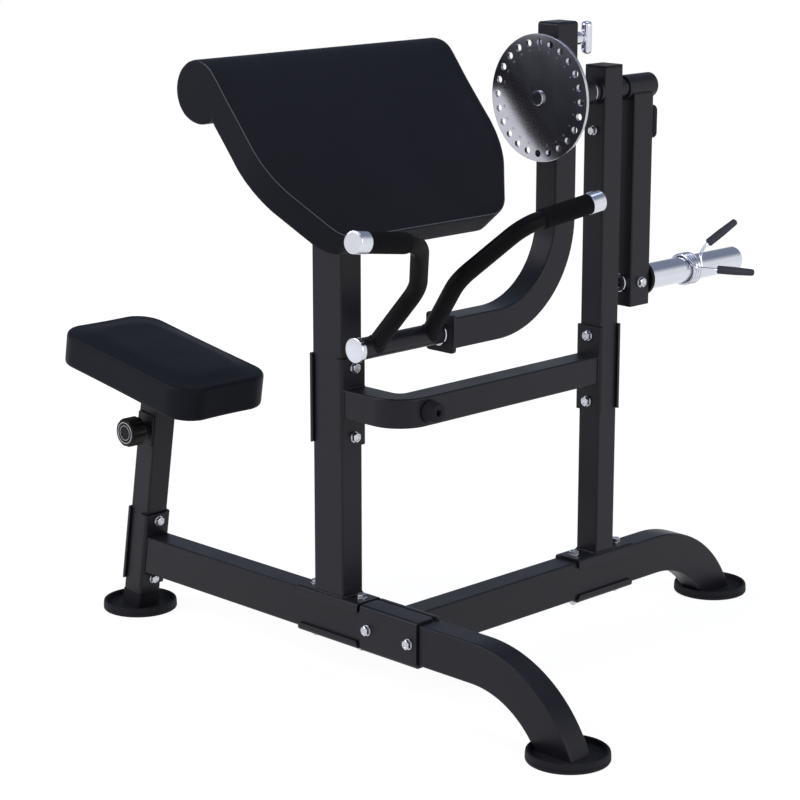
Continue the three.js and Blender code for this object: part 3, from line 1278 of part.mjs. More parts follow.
function addPopPin(group) {
  const on = (y) => at(SIDE_RAIL_X, y, popPinZ);
  const barrel = rod(on(leverBack + SEAT_GAP), on(POP_PIN_BARREL_END_Y), POP_PIN_BARREL_RADIUS);
  const boreEnd = on(POP_PIN_BARREL_END_Y + OVERRUN);
  const bore = rod(on(leverBack - OVERRUN), boreEnd, POP_PIN_RADIUS + SEAT_GAP, PIN_SIDES);
  addPiece(group, "pop_pin_barrel", cut(barrel, bore), CHROME);
  const stemStart = POP_PIN_BARREL_END_Y + POP_PIN_TRAVEL + RUNNING_GAP;
  const half = T_BAR_LENGTH / 2;
  const barProfile = [
    [0, -half],
    [T_BAR_RADIUS - T_BAR_EDGE, -half],
    [T_BAR_RADIUS, T_BAR_EDGE - half],
    [T_BAR_RADIUS, half - T_BAR_EDGE],
    [T_BAR_RADIUS - T_BAR_EDGE, half],
    [0, half],
  ];
  const handle = turned(barProfile, at(0, 0, 0), Y).rotateX(Math.PI / 2);
  handle.translate(SIDE_RAIL_X, T_BAR_Y, popPinZ);
  const slots = [-1, 1].map((end) => {
    const z = popPinZ + end * T_BAR_SLOT_OFFSET;
    return block(
      [SIDE_RAIL_X - T_BAR_SLOT_WIDTH / 2, SIDE_RAIL_X + T_BAR_SLOT_WIDTH / 2],
      [T_BAR_Y - T_BAR_RADIUS - OVERRUN, T_BAR_Y - T_BAR_RADIUS + T_BAR_SLOT_DEPTH],
      [z - T_BAR_SLOT_LENGTH / 2, z + T_BAR_SLOT_LENGTH / 2],
    );
  });
  const pin = join(
    cut(handle, ...slots),
    rod(on(stemStart), on(T_BAR_Y), POP_PIN_STEM_RADIUS),
    rod(on(discBack + RUNNING_GAP), on(T_BAR_Y), POP_PIN_RADIUS, PIN_SIDES),
  );
  addPiece(group, "pop_pin", pin, CHROME);
}

function addAxle(group) {
  const on = (y) => at(SIDE_RAIL_X, y, LEVER_ARM_Z);
  const plateFace = LEVER_ARM_END_Y - END_PLATE_THICKNESS - SEAT_GAP;
  const axle = join(
    rod(on(LEVER_ARM_END_Y + AXLE_TAIL), on(SLEEVE_END_Y), AXLE_RADIUS),
    rod(on(plateFace), on(plateFace - AXLE_RING), AXLE_RING_RADIUS),
  );
  const screwHole = rod(
    on(SLEEVE_END_Y - OVERRUN),
    on(SLEEVE_END_Y + AXLE_SCREW_LENGTH + SEAT_GAP),
    AXLE_SCREW_RADIUS + SEAT_GAP,
    SHAFT_SIDES,
  );
  addPiece(group, "handle_axle", cut(axle, screwHole), CHROME);
  const profile = [
    [0, 0],
    [AXLE_SCREW_RADIUS, 0],
    [AXLE_SCREW_RADIUS, AXLE_SCREW_LENGTH + SEAT_GAP],
    [AXLE_CAP_RADIUS, AXLE_SCREW_LENGTH + SEAT_GAP],
    [AXLE_CAP_RADIUS, AXLE_SCREW_LENGTH + AXLE_CAP - AXLE_CAP_EDGE],
    [AXLE_CAP_RADIUS - AXLE_CAP_EDGE, AXLE_SCREW_LENGTH + AXLE_CAP],
    [0, AXLE_SCREW_LENGTH + AXLE_CAP],
  ];
  const cap = turned(profile, on(SLEEVE_END_Y + AXLE_SCREW_LENGTH), Y.clone().negate());
  addPiece(group, "axle_cap", cap, CHROME);
}

// The bends of one side of the handle bar, from its root to its end: side is 1 for +Y and -1 for -Y.
function handlePoints(side) {
  const from = (forward, aside, up) => at(SIDE_RAIL_X + forward, side * aside, LEVER_ARM_Z + up);
  return {
    root: from(HANDLE_ROOT_FORWARD, HANDLE_ROOT_ASIDE, HANDLE_ROOT_UP),
    elbow: from(HANDLE_ELBOW_FORWARD, HANDLE_ELBOW_ASIDE, HANDLE_ELBOW_UP),
    shoulder: from(HANDLE_SHOULDER_FORWARD, HANDLE_SHOULDER_ASIDE, HANDLE_SHOULDER_UP),
    end: from(HANDLE_END_FORWARD, HANDLE_END_ASIDE, HANDLE_END_UP),
  };
}

function handleTube(side, radius, sides) {
  const { root, elbow, shoulder, end } = handlePoints(side);
  const corners = [root, elbow, shoulder];
  const outwards = end.clone().sub(shoulder).normalize();
  corners.push(end.addScaledVector(outwards, -GRIP_CAP_END - SEAT_GAP));
  const path = new BentPath(corners, [HANDLE_ELBOW_RADIUS, HANDLE_SHOULDER_RADIUS], X, BEND_STEPS);
  return sweep(path, new THREE.Shape(roundOutline(radius, sides)));
}

function addHandleBar(group) {
  const on = (y) => at(SIDE_RAIL_X, y, LEVER_ARM_Z);
  const sleeveStart = LEVER_ARM_END_Y - END_PLATE_THICKNESS - 2 * SEAT_GAP - AXLE_RING;
  const sleeve = rod(on(sleeveStart), on(SLEEVE_END_Y + SEAT_GAP), SLEEVE_RADIUS);
  const bore = rod(on(sleeveStart + OVERRUN), on(SLEEVE_END_Y - OVERRUN), AXLE_RADIUS + SEAT_GAP);
  const tubes = [-1, 1].map((side) => handleTube(side, HANDLE_RADIUS, HANDLE_SIDES));
  const boreRadius = HANDLE_RADIUS - HANDLE_WALL;
  const hollows = [-1, 1].map((side) => handleTube(side, boreRadius, HANDLE_BORE_SIDES));
  const tubeWalls = cut(join(...tubes), ...hollows);
  addPiece(group, "handle_bar", cut(join(tubeWalls, sleeve), bore), BLACK_PAINT);
  for (const [name, side] of [["left", -1], ["right", 1]]) {
    addGrip(group, name, side);
  }
}

// The foam grip and the chrome cap on one end of the handle bar.
function addGrip(group, name, side) {
  const { shoulder, end } = handlePoints(side);
  const outwards = end.clone().sub(shoulder).normalize();
  const start = shoulder.clone().addScaledVector(outwards, GRIP_START);
  const length = end.distanceTo(start) - GRIP_CAP_LENGTH - SEAT_GAP;
  const bore = HANDLE_RADIUS + SEAT_GAP;
  const gripProfile = [
    [bore, 0],
    [GRIP_RADIUS - GRIP_EDGE / 2, 0],
    [GRIP_RADIUS, GRIP_EDGE],
    [GRIP_RADIUS, length],
    [bore, length],
    [bore, 0],
  ];
  addPiece(group, `${name}_grip`, turned(gripProfile, start, outwards), FOAM);
  const capStart = start.clone().addScaledVector(outwards, length + SEAT_GAP);
  const capProfile = [
    [bore, 0],
    [GRIP_CAP_RADIUS, 0],
    [GRIP_CAP_RADIUS, GRIP_CAP_LENGTH - GRIP_CAP_EDGE],
    [GRIP_CAP_RADIUS - GRIP_CAP_EDGE, GRIP_CAP_LENGTH],
    [0, GRIP_CAP_LENGTH],
    [0, GRIP_CAP_LENGTH - GRIP_CAP_END],
    [bore, GRIP_CAP_LENGTH - GRIP_CAP_END],
    [bore, 0],
  ];
  addPiece(group, `${name}_grip_cap`, turned(capProfile, capStart, outwards), CHROME);
}

function addWeightArm(group) {
  const on = (z) => at(SIDE_RAIL_X, WEIGHT_ARM_Y, z);
  const section = tubeSection(TUBE_WIDTH, WEIGHT_ARM_DEPTH);
  const foot = bar(
    on(WEIGHT_ARM_BOTTOM),
    on(WEIGHT_ARM_BOTTOM + TUBE_WALL),
    new THREE.Shape(roundedOutline(TUBE_WIDTH, WEIGHT_ARM_DEPTH, TUBE_CORNER)),
    Y,
  );
  const tube = bar(on(WEIGHT_ARM_BOTTOM + TUBE_WALL / 2), on(WEIGHT_ARM_TOP), section, Y);
  const hub = rod(
    at(SIDE_RAIL_X, WEIGHT_HUB_START_Y, PIVOT_Z),
    at(SIDE_RAIL_X, WEIGHT_HUB_END_Y, PIVOT_Z),
    WEIGHT_HUB_RADIUS,
  );
  const shaftHole = rod(
    at(SIDE_RAIL_X, WEIGHT_HUB_START_Y - OVERRUN, PIVOT_Z),
    at(SIDE_RAIL_X, WEIGHT_HUB_END_Y + OVERRUN, PIVOT_Z),
    SHAFT_RADIUS + SEAT_GAP,
  );
  const pegHole = rod(
    at(SIDE_RAIL_X, WEIGHT_ARM_Y - WEIGHT_ARM_DEPTH, PEG_Z),
    at(SIDE_RAIL_X, WEIGHT_ARM_Y + WEIGHT_ARM_DEPTH, PEG_Z),
    PEG_STUB_RADIUS + SEAT_GAP,
  );
  const boltHole = rod(
    at(SIDE_RAIL_X, WEIGHT_ARM_Y, PEG_Z),
    at(SIDE_RAIL_X + TUBE_WIDTH, WEIGHT_ARM_Y, PEG_Z),
    STOP_BOLT_HOLE_RADIUS,
    HOLE_SIDES,
  );
  const whole = join(tube, foot, hub);
  addPiece(group, "weight_arm", cut(whole, shaftHole, pegHole, boltHole), BLACK_PAINT);
  addArmBumper(group);
}

function addArmBumper(group) {
  const armBack = WEIGHT_ARM_Y + WEIGHT_ARM_DEPTH / 2 + SEAT_GAP;
  const padHeight = ARM_BUMPER_HIGH_Z - ARM_BUMPER_LOW_Z;
  const outline = roundedOutline(
    ARM_BUMPER_WIDTH - 2 * ARM_BUMPER_EDGE,
    padHeight - 2 * ARM_BUMPER_EDGE,
    ARM_BUMPER_CORNER,
    ARM_BUMPER_CORNER_STEPS,
  );
  const pad = new THREE.ExtrudeGeometry(new THREE.Shape(outline), {
    depth: ARM_BUMPER_THICKNESS - ARM_BUMPER_EDGE,
    bevelThickness: ARM_BUMPER_EDGE,
    bevelSize: ARM_BUMPER_EDGE,
    bevelSegments: BEVEL_STEPS,
  });
  const padAt = at(SIDE_RAIL_X, armBack, (ARM_BUMPER_LOW_Z + ARM_BUMPER_HIGH_Z) / 2);
  const behind = block(
    [SIDE_RAIL_X - TUBE_WIDTH, SIDE_RAIL_X + TUBE_WIDTH],
    [armBack - OVERRUN, armBack],
    [ARM_BUMPER_LOW_Z - OVERRUN, ARM_BUMPER_HIGH_Z + OVERRUN],
  );
  addPiece(group, "arm_bumper", cut(place(pad, padAt, Z, X), behind), RUBBER);
}

function addPeg(group) {
  const on = (y) => at(SIDE_RAIL_X, y, PEG_Z);
  const armFront = WEIGHT_ARM_Y - WEIGHT_ARM_DEPTH / 2 - SEAT_GAP;
  const armBack = WEIGHT_ARM_Y + WEIGHT_ARM_DEPTH / 2 + SEAT_GAP;
  const ringStart = armFront - PEG_RING;
  const shoulder = armBack + PEG_FLANGE + SEAT_GAP - ringStart;
  const end = PEG_END_Y - ringStart;
  const profile = [
    [PEG_STUB_BORE, 0],
    [PEG_RING_RADIUS, 0],
    [PEG_RING_RADIUS, PEG_RING],
    [PEG_STUB_RADIUS, PEG_RING],
    [PEG_STUB_RADIUS, shoulder],
    [PEG_RADIUS, shoulder],
    [PEG_RADIUS, end - PEG_EDGE],
    [PEG_RADIUS - PEG_EDGE / 3, end - PEG_EDGE / 3],
    [PEG_RADIUS - PEG_EDGE, end],
    [0, end],
    [0, end - PEG_WALL],
    [PEG_RADIUS - PEG_WALL, end - PEG_WALL],
    [PEG_RADIUS - PEG_WALL, shoulder + PEG_WALL],
    [PEG_STUB_BORE, shoulder + PEG_WALL],
    [PEG_STUB_BORE, 0],
  ];
  const boltHole = rod(
    at(SIDE_RAIL_X, WEIGHT_ARM_Y, PEG_Z),
    at(SIDE_RAIL_X + TUBE_WIDTH, WEIGHT_ARM_Y, PEG_Z),
    STOP_BOLT_HOLE_RADIUS,
    HOLE_SIDES,
  );
  const peg = turned(profile, on(ringStart), Y, FOOT_SIDES);
  addPiece(group, "weight_peg", cut(peg, boltHole), CHROME);
  const flange = cut(
    rod(on(armBack), on(armBack + PEG_FLANGE), PEG_FLANGE_RADIUS, FOOT_SIDES),
    rod(on(armBack - OVERRUN), on(armBack + PEG_FLANGE + OVERRUN), PEG_STUB_RADIUS + SEAT_GAP),
  );
  addPiece(group, "peg_flange", flange, PLASTIC);
  const face = SIDE_RAIL_X + halfTube + SEAT_GAP;
  const alongX = (x) => at(x, WEIGHT_ARM_Y, PEG_Z);
  const bolt = join(
    rod(alongX(face), alongX(face + STOP_BOLT_WASHER), BOLT_WASHER_RADIUS, WASHER_SIDES),
    hexagonalPrism(
      alongX(face + STOP_BOLT_WASHER),
      alongX(face + STOP_BOLT_WASHER + BOLT_HEAD_HEIGHT),
      BOLT_HEAD_ACROSS,
    ),
    rod(alongX(face - PEG_BOLT_SHANK), alongX(face + STOP_BOLT_WASHER), STOP_BOLT_RADIUS, BOLT_SIDES),
  );
  addPiece(group, "peg_bolt", bolt, CHROME);
}

// The point of the spring collar's coil at an angle, and the direction in which its wire runs there.
function coilPoint(degrees) {
  const angle = radians(degrees);
  const y = COLLAR_START_Y + (COLLAR_PITCH * (degrees - COLLAR_START_DEGREES)) / 360;
  return at(SIDE_RAIL_X + COLLAR_RADIUS * Math.cos(angle), y, PEG_Z + COLLAR_RADIUS * Math.sin(angle));
}

function coilDirection(degrees) {
  return at(-Math.sin(radians(degrees)), 0, Math.cos(radians(degrees)));
}

// Where each grip of the collar starts and ends, placed from the start of the coil on the peg's axis.
function collarGrips() {
  const from = (forward, along, up) => at(SIDE_RAIL_X + forward, COLLAR_START_Y + along, PEG_Z + up);
  return {
    upper: {
      root: from(UPPER_GRIP_ROOT_FORWARD, UPPER_GRIP_ROOT_ALONG, UPPER_GRIP_ROOT_UP),
      tip: from(UPPER_GRIP_TIP_FORWARD, UPPER_GRIP_TIP_ALONG, UPPER_GRIP_TIP_UP),
    },
    lower: {
      root: from(LOWER_GRIP_ROOT_FORWARD, LOWER_GRIP_ROOT_ALONG, LOWER_GRIP_ROOT_UP),
      tip: from(LOWER_GRIP_TIP_FORWARD, LOWER_GRIP_TIP_ALONG, -LOWER_GRIP_TIP_DOWN),
    },
  };
}

// The arm that leaves the coil, from the coil out to its tip inside the grip.
function collarArm(start, leaving, { root, tip }) {
  const lead = start.clone().addScaledVector(leaving, COLLAR_LEAD);
  const inward = root.clone().sub(tip).normalize();
  const wireEnd = tip.clone().addScaledVector(inward, COLLAR_GRIP_WALL + SEAT_GAP);
  const radii = [COLLAR_BEND_RADIUS, COLLAR_BEND_RADIUS];
  const path = new BentPath([start, lead, root, wireEnd], radii, Y, COLLAR_BEND_STEPS);
  return path.getSpacedPoints();
}

function collarWire() {
  const endDegrees = 360 * COLLAR_TURNS + COLLAR_END_DEGREES;
  const grips = collarGrips();
  const turns = (endDegrees - COLLAR_START_DEGREES) / 360;
  const steps = Math.round(turns * COLLAR_STEPS_PER_TURN);
  const coil = [];
  for (let step = 1; step < steps; step++) {
    const degrees = COLLAR_START_DEGREES + ((endDegrees - COLLAR_START_DEGREES) * step) / steps;
    coil.push(coilPoint(degrees));
  }
  const start = coilPoint(COLLAR_START_DEGREES);
  const lowerLead = coilDirection(COLLAR_START_DEGREES).negate();
  const upperLead = coilDirection(endDegrees);
  const lower = collarArm(start, lowerLead, grips.lower);
  const upper = collarArm(coilPoint(endDegrees), upperLead, grips.upper);
  return [...lower.reverse(), ...coil, ...upper];
}

// The least clear distance between stretches of wire that aren't next to each other.
function leastGap(points, radius) {
  const lengths = [0];
  points.slice(1).forEach((p, i) => lengths.push(lengths[i] + p.distanceTo(points[i])));
  let least = Infinity;
  const line = new THREE.Line3();
  const nearest = new THREE.Vector3();
  for (let i = 0; i < points.length; i++) {
    for (let j = 0; j + 1 < points.length; j++) {
      const along = Math.min(Math.abs(lengths[i] - lengths[j]), Math.abs(lengths[i] - lengths[j + 1]));
      if (along < COLLAR_NEIGHBOUR_SHARE * radius) {
        continue;
      }
      line.set(points[j], points[j + 1]).closestPointToPoint(points[i], true, nearest);
      least = Math.min(least, nearest.distanceTo(points[i]) - 2 * radius);
    }
  }
  return least;
}

function addSpringCollar(group) {
  const points = collarWire();
  const gap = leastGap(points, WIRE_RADIUS);
  console.log(`spring collar: least gap ${gap.toFixed(2)} mm, wanted over ${COLLAR_LEAST_GAP} mm`);
  const wireShape = new THREE.Shape(roundOutline(WIRE_RADIUS, WIRE_SIDES));
  const wire = sweep(new PointPath(points, Y), wireShape);
  addPiece(group, "spring_collar", wire, CHROME);
  for (const [name, { root, tip }] of Object.entries(collarGrips())) {
    const along = tip.clone().sub(root);
    const length = along.length();
    const axis = along.normalize();
    const clear = COLLAR_BEND_RADIUS;
    const bore = WIRE_RADIUS + SEAT_GAP;
    const profile = [
      [bore, clear],
      [COLLAR_GRIP_RADIUS, clear],
      [COLLAR_GRIP_RADIUS, length / 2],
      [COLLAR_GRIP_TIP_RADIUS, length - COLLAR_GRIP_WALL / 2],
      [COLLAR_GRIP_TIP_RADIUS / 2, length],
      [0, length],
      [0, length - COLLAR_GRIP_WALL],
      [bore, length - COLLAR_GRIP_WALL],
      [bore, clear],
    ];
    addPiece(group, `collar_grip_${name}`, turned(profile, root, axis, HANDLE_SIDES), PLASTIC);
  }
}

const bench = new THREE.Group();
addMainRail(bench);
addSideRail(bench);
addFrontUpright(bench);
addRearUpright(bench);
addLooseBrackets(bench);
addCrossMember(bench);
addFrameBolts(bench);
addFeet(bench);
bench.add(seatPostGroup());
bench.add(armPadGroup());
addShaft(bench);
addIndexDisc(bench);
addStopBolt(bench);
addLever(bench);
addPopPin(bench);
addAxle(bench);
addHandleBar(bench);
addWeightArm(bench);
addPeg(bench);
addSpringCollar(bench);

// The origin goes to the middle of the footprint, on the floor.
bench.updateMatrixWorld(true);
const extent = new THREE.Box3().setFromObject(bench, true);
const middle = extent.getCenter(new THREE.Vector3());
bench.position.set(-middle.x, -middle.y, -extent.min.z);

export default bench;
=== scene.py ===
"""The preacher bench, dressed: painted tubes, cushions, lever, load side, studio and camera.

Sizes are millimetres from the point on the floor under the front upright. +X runs from the seat to the
curved front leg, +Y along the side rail and +Z up. at() turns them into the frame's metres, so a Vector or a
Matrix is in metres, and a plain number is in millimetres unless its line says otherwise.
"""
import logging
from collections.abc import Callable, Iterator, Sequence
from contextlib import contextmanager
from dataclasses import dataclass, field
from enum import Enum
from math import atan2, cos, pi, radians, sin, sqrt, tan

import bmesh
import bpy
import numpy as np
from mathutils import Matrix, Vector


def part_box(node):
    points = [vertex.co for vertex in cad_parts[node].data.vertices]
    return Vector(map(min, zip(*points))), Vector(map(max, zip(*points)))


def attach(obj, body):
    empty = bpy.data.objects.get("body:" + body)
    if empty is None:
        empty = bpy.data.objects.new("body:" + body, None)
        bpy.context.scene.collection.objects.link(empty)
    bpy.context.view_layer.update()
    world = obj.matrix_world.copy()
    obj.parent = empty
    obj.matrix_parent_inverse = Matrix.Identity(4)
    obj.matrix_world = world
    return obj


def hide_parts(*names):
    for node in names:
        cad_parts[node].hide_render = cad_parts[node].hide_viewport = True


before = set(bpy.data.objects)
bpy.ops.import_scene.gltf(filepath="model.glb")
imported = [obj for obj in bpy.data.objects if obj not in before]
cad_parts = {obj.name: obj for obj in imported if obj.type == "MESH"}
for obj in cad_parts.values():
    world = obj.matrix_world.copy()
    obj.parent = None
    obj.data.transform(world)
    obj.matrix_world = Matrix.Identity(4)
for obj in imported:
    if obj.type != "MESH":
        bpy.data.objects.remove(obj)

Piece = bpy.types.Object
Tree = bpy.types.NodeTree
Node = bpy.types.Node
Socket = bpy.types.NodeSocket
Triple = tuple[float, float, float]
Profile = list[tuple[float, float]]

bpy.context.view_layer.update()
log = logging.getLogger("bench")

MM = 0.001
TINY = 1e-6
X, Y, Z = Vector((1, 0, 0)), Vector((0, 1, 0)), Vector((0, 0, 1))

# Sizes that several sub-assemblies share
GAP = 0.3
PLATE = 5.0
PLATE_FOLD = 4.0
PLATE_CORNER = 7.0
TUBE = 50.0
TUBE_WALL = 3.0
TUBE_CORNER = 3.5
RAIL_HEIGHT = 75.0
RAIL_Z = 123.5
SIDE_X = 157.0
PIVOT_Z = 1042.6
ARM_Z = 653.5
CROSS_Z = 525.0
REAR_Y = 526.5
POST_FOOT_X = -575.0
POST_LEAN = 9.5
PAD_SLOPE = 49.67
ROLL_X, ROLL_Z, ROLL_RADIUS = -34.8, 1088.4, 54.0
SLAB_THICKNESS = 53.0
HALF = TUBE / 2
OUTER = HALF + GAP + PLATE
SADDLE_Z = RAIL_Z + RAIL_HEIGHT / 2 + GAP
CROSS_FACE = RAIL_HEIGHT / 2 + GAP
FOOT_BASE = 8.0
CLAMP_LENGTH = 142.0
CROSS_BRACKET = 162.0
POST_BRACKET = 152.0
POST_JOINT = 137.0
LOAD_Y = 613.5
PEG_Z = 677.0

# How close a point lies to a face's plane or an edge's line, and how well a unit direction follows an axis
NEAR = 0.1 * MM
ALIGNED = 0.9


class Kind(Enum):
    """What an edit acts on."""

    VERTEX = "VERT"
    EDGE = "EDGE"
    FACE = "FACE"


class Body(Enum):
    """The bodies that move as one."""

    FRAME = "frame"
    SEAT = "seat"
    SEAT_PIN = "seat_pin"
    LOAD_ARM = "load_arm"
    LEVER = "lever"
    POP_PIN = "pop_pin"
    HANDLES = "handles"
    COLLAR = "collar"


class Slot(Enum):
    """The record's material slots."""

    PAINT = "black_paint"
    VINYL = "vinyl"
    FOAM = "foam"
    RUBBER = "rubber"
    PLASTIC = "plastic"
    CHROME = "chrome"
    STEEL = "polished_steel"
    PLYWOOD = "plywood"


# Places and directions


def middle_of(node: str) -> Vector:
    """Gives the middle of a solid's box in the frame."""
    return sum(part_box(node), Vector()) / 2


# The point on the floor under the front upright, from the middles of the shaft and the front foot
ORIGIN = Vector((middle_of("main_shaft").x - SIDE_X * MM, middle_of("front_foot").y, 0))


def mm(x: float, y: float, z: float) -> Vector:
    """Turns a local point or a move from millimetres into metres."""
    return Vector((x, y, z)) * MM


def at(x: float, y: float, z: float) -> Vector:
    """Gives a place on the bench in the frame's metres."""
    return mm(x, y, z) + ORIGIN


def axes(origin: Vector, along: Vector, across: Vector) -> Matrix:
    """Sets a piece's own x and y along two directions, with its origin at a place."""
    basis = Matrix((along, across, along.cross(across))).transposed()
    return Matrix.Translation(origin) @ basis.to_4x4()


def facing(origin: Vector, axis: Vector) -> Matrix:
    """Sets a turned piece's own +Z along an axis, with its origin at a place."""
    return Matrix.Translation(origin) @ axis.to_track_quat("Z", "Y").to_matrix().to_4x4()


def on_side(y: float, z: float, axis: Vector = Y) -> Matrix:
    """Sets a turned piece's own +Z along an axis, at a place over the side rail."""
    return facing(at(SIDE_X, y, z), axis)


POST = Matrix.Translation(at(POST_FOOT_X, 0, 0)) @ Matrix.Rotation(radians(POST_LEAN), 4, "Y")
PAD = Matrix.Translation(at(ROLL_X, 0, ROLL_Z)) @ Matrix.Rotation(radians(PAD_SLOPE), 4, "Y")


# Shaping by hand


def activate(*pieces: Piece) -> None:
    """Selects these pieces alone, the first of them active.

    Args:
        pieces: the objects to select.
    """
    bpy.ops.object.select_all(action="DESELECT")
    for piece in pieces:
        piece.select_set(True)
    bpy.context.view_layer.objects.active = pieces[0]


@contextmanager
def editing(piece: Piece, kind: Kind = Kind.FACE) -> Iterator[None]:
    """Opens a piece for editing with everything selected, and closes it again.

    Args:
        piece: the mesh object to edit.
        kind: what the edits act on.
    """
    activate(piece)
    bpy.ops.object.mode_set(mode="EDIT")
    bpy.ops.mesh.select_mode(type=kind.value)
    bpy.ops.mesh.select_all(action="SELECT")
    yield
    bpy.ops.object.mode_set(mode="OBJECT")


def pick(kind: Kind, test: Callable[[Vector, Vector], bool]) -> None:
    """Selects, in the piece being edited, what passes a test.

    Args:
        kind: vertices, edges or faces.
        test: takes the middle, and the normal or for an edge its direction.
    """
    mesh = bpy.context.object.data
    bpy.ops.mesh.select_mode(type=kind.value)
    bpy.ops.mesh.select_all(action="DESELECT")
    work = bmesh.from_edit_mesh(mesh)
    if kind is Kind.FACE:
        found = [f for f in work.faces if test(f.calc_center_median(), f.normal)]
    elif kind is Kind.EDGE:
        ends = [(e, e.verts[0].co, e.verts[1].co) for e in work.edges]
        found = [e for e, a, b in ends if test((a + b) / 2, (b - a).normalized())]
    else:
        found = [v for v in work.verts if test(v.co, v.normal)]
    for element in found:
        element.select_set(True)
    work.select_flush_mode()
    bmesh.update_edit_mesh(mesh)


def primitive(name: str, shape: Callable, **settings: object) -> Piece:
    """Adds one of Blender's plain shapes.

    Args:
        name: the piece's name.
        shape: the operator that adds it.
        settings: the operator's settings.

    Returns:
        The new piece.
    """
    bpy.ops.object.select_all(action="DESELECT")
    shape(**settings)
    bpy.context.object.name = name
    return bpy.context.object


def linked(name: str, data: bpy.types.ID) -> Piece:
    """Puts new data into the scene as an object.

    Args:
        name: the object's name.
        data: its mesh, curve, lamp or camera.

    Returns:
        The new object.
    """
    made = bpy.data.objects.new(name, data)
    bpy.context.scene.collection.objects.link(made)
    return made


def extrude(move: Vector) -> None:
    """Extrudes what is selected by a move."""
    bpy.ops.mesh.extrude_region_move(TRANSFORM_OT_translate={"value": move})


def settle(piece: Piece, place: Matrix | None = None) -> Piece:
    """Puts a piece in place and writes the place into its mesh.

    Args:
        piece: the object to place.
        place: where its own axes go, or None to keep it where it is.

    Returns:
        The same piece, its object at the origin.
    """
    activate(piece)
    if place is not None:
        piece.matrix_world = place @ piece.matrix_world
    bpy.ops.object.transform_apply(location=True, rotation=True, scale=True)
    return piece


def apply_modifier(piece: Piece, kind: str, **settings: object) -> None:
    """Adds a modifier with its settings and applies it.

    Args:
        piece: the object that gets it.
        kind: the modifier's type.
        settings: its properties by name.
    """
    modifier = piece.modifiers.new(kind.title(), kind)
    for name, value in settings.items():
        setattr(modifier, name, value)
    activate(piece)
    bpy.ops.object.modifier_apply(modifier=modifier.name)


def cut_with(piece: Piece, tool: Piece, operation: str = "DIFFERENCE") -> None:
    """Cuts a piece with a closed tool, or keeps what both share, and clears the tool away."""
    apply_modifier(piece, "BOOLEAN", object=tool, operation=operation, solver="EXACT")
    bpy.data.objects.remove(tool)


def joined(name: str, *pieces: Piece) -> Piece:
    """Makes one piece of several.

    Args:
        name: the piece's name.
        pieces: the parts, of which the first one stays.

    Returns:
        The whole piece.
    """
    activate(*pieces)
    if len(pieces) > 1:
        bpy.ops.object.join()
    pieces[0].name = name
    pieces[0].data.name = name
    return pieces[0]


def copy_of(piece: Piece, name: str) -> Piece:
    """Copies a piece with a mesh of its own.

    Args:
        piece: the object to copy.
        name: the copy's name.

    Returns:
        The copy, free of the body that the first one rides on.
    """
    copy = linked(name, piece.data.copy())
    copy.data.name = name
    return copy


@dataclass(frozen=True)
class Section:
    """A bar's outline: its width, its depth along the side vector, and its corners.

    A section with no corner is round and its sides count how finely.
    """

    width: float
    depth: float
    corner: float = 0.0
    sides: int = 32

    def face(self, name: str, origin: Vector, heading: Vector, side: Vector) -> Piece:
        """Draws the outline as one face at the start of a bar.

        Args:
            name: the piece's name.
            origin: middle of the face.
            heading: the way the bar will run.
            side: the direction of the section's depth.

        Returns:
            The object that holds the face.
        """
        if self.corner:
            piece = primitive(name, bpy.ops.mesh.primitive_plane_add, size=1)
        else:
            circle = bpy.ops.mesh.primitive_circle_add
            piece = primitive(name, circle, vertices=self.sides, radius=0.5, fill_type="NGON")
        size = Matrix.Diagonal((self.width * MM, self.depth * MM, 1, 1))
        settle(piece, axes(origin, side.cross(heading), side) @ size)
        if self.corner:
            with editing(piece, Kind.VERTEX):
                steps = max(5, round(self.corner / 4))
                bpy.ops.mesh.bevel(offset=self.corner * MM, segments=steps, affect="VERTICES")
        return piece


def bent_bar(
    name: str,
    corners: Sequence[Vector],
    radii: Sequence[float],
    section: Section,
    side: Vector,
    step_degrees: float = 3.0,
) -> Piece:
    """Extrudes a section along straight stretches and spins it round each corner between them.

    Args:
        name: the piece's name.
        corners: the path's ends and inner corners.
        radii: a bend radius for each inner corner.
        section: the bar's outline.
        side: the direction of the section's depth at the start.
        step_degrees: how finely the bends are divided.

    Returns:
        The closed bar.
    """
    heading = (corners[1] - corners[0]).normalized()
    side = (side - heading * side.dot(heading)).normalized()
    piece = section.face(name, corners[0], heading, side)
    position = corners[0].copy()
    with editing(piece):
        for corner, beyond, radius in zip(corners[1:], corners[2:], radii):
            after = (beyond - corner).normalized()
            turn = heading.angle(after)
            inwards = (after - heading * cos(turn)).normalized()
            tangent = radius * MM * tan(turn / 2)
            bend_start = corner - heading * tangent
            if (bend_start - position).length > TINY:
                extrude(bend_start - position)
            steps = max(4, round(turn / radians(step_degrees)))
            # The operator turns the other way from the right-hand rule, so its axis is reversed.
            bpy.ops.mesh.spin(
                steps=steps,
                angle=turn,
                center=bend_start + inwards * radius * MM,
                axis=-heading.cross(inwards),
            )
            position = corner + after * tangent
            heading = after
        extrude(corners[-1] - position)
        close_up()
    return piece


def trim(piece: Piece, point: Vector, outwards: Vector) -> None:
    """Cuts a piece off at a plane and closes it there.

    Args:
        piece: the object to cut.
        point: a point of the plane.
        outwards: the way to what is cleared away.
    """
    with editing(piece):
        bpy.ops.mesh.bisect(plane_co=point, plane_no=outwards, use_fill=True, clear_outer=True)
        close_up()


def close_up() -> None:
    """Merges doubled points of the piece being edited and turns its faces outwards."""
    bpy.ops.mesh.select_all(action="SELECT")
    bpy.ops.mesh.remove_doubles(threshold=TINY)
    bpy.ops.mesh.normals_make_consistent(inside=False)


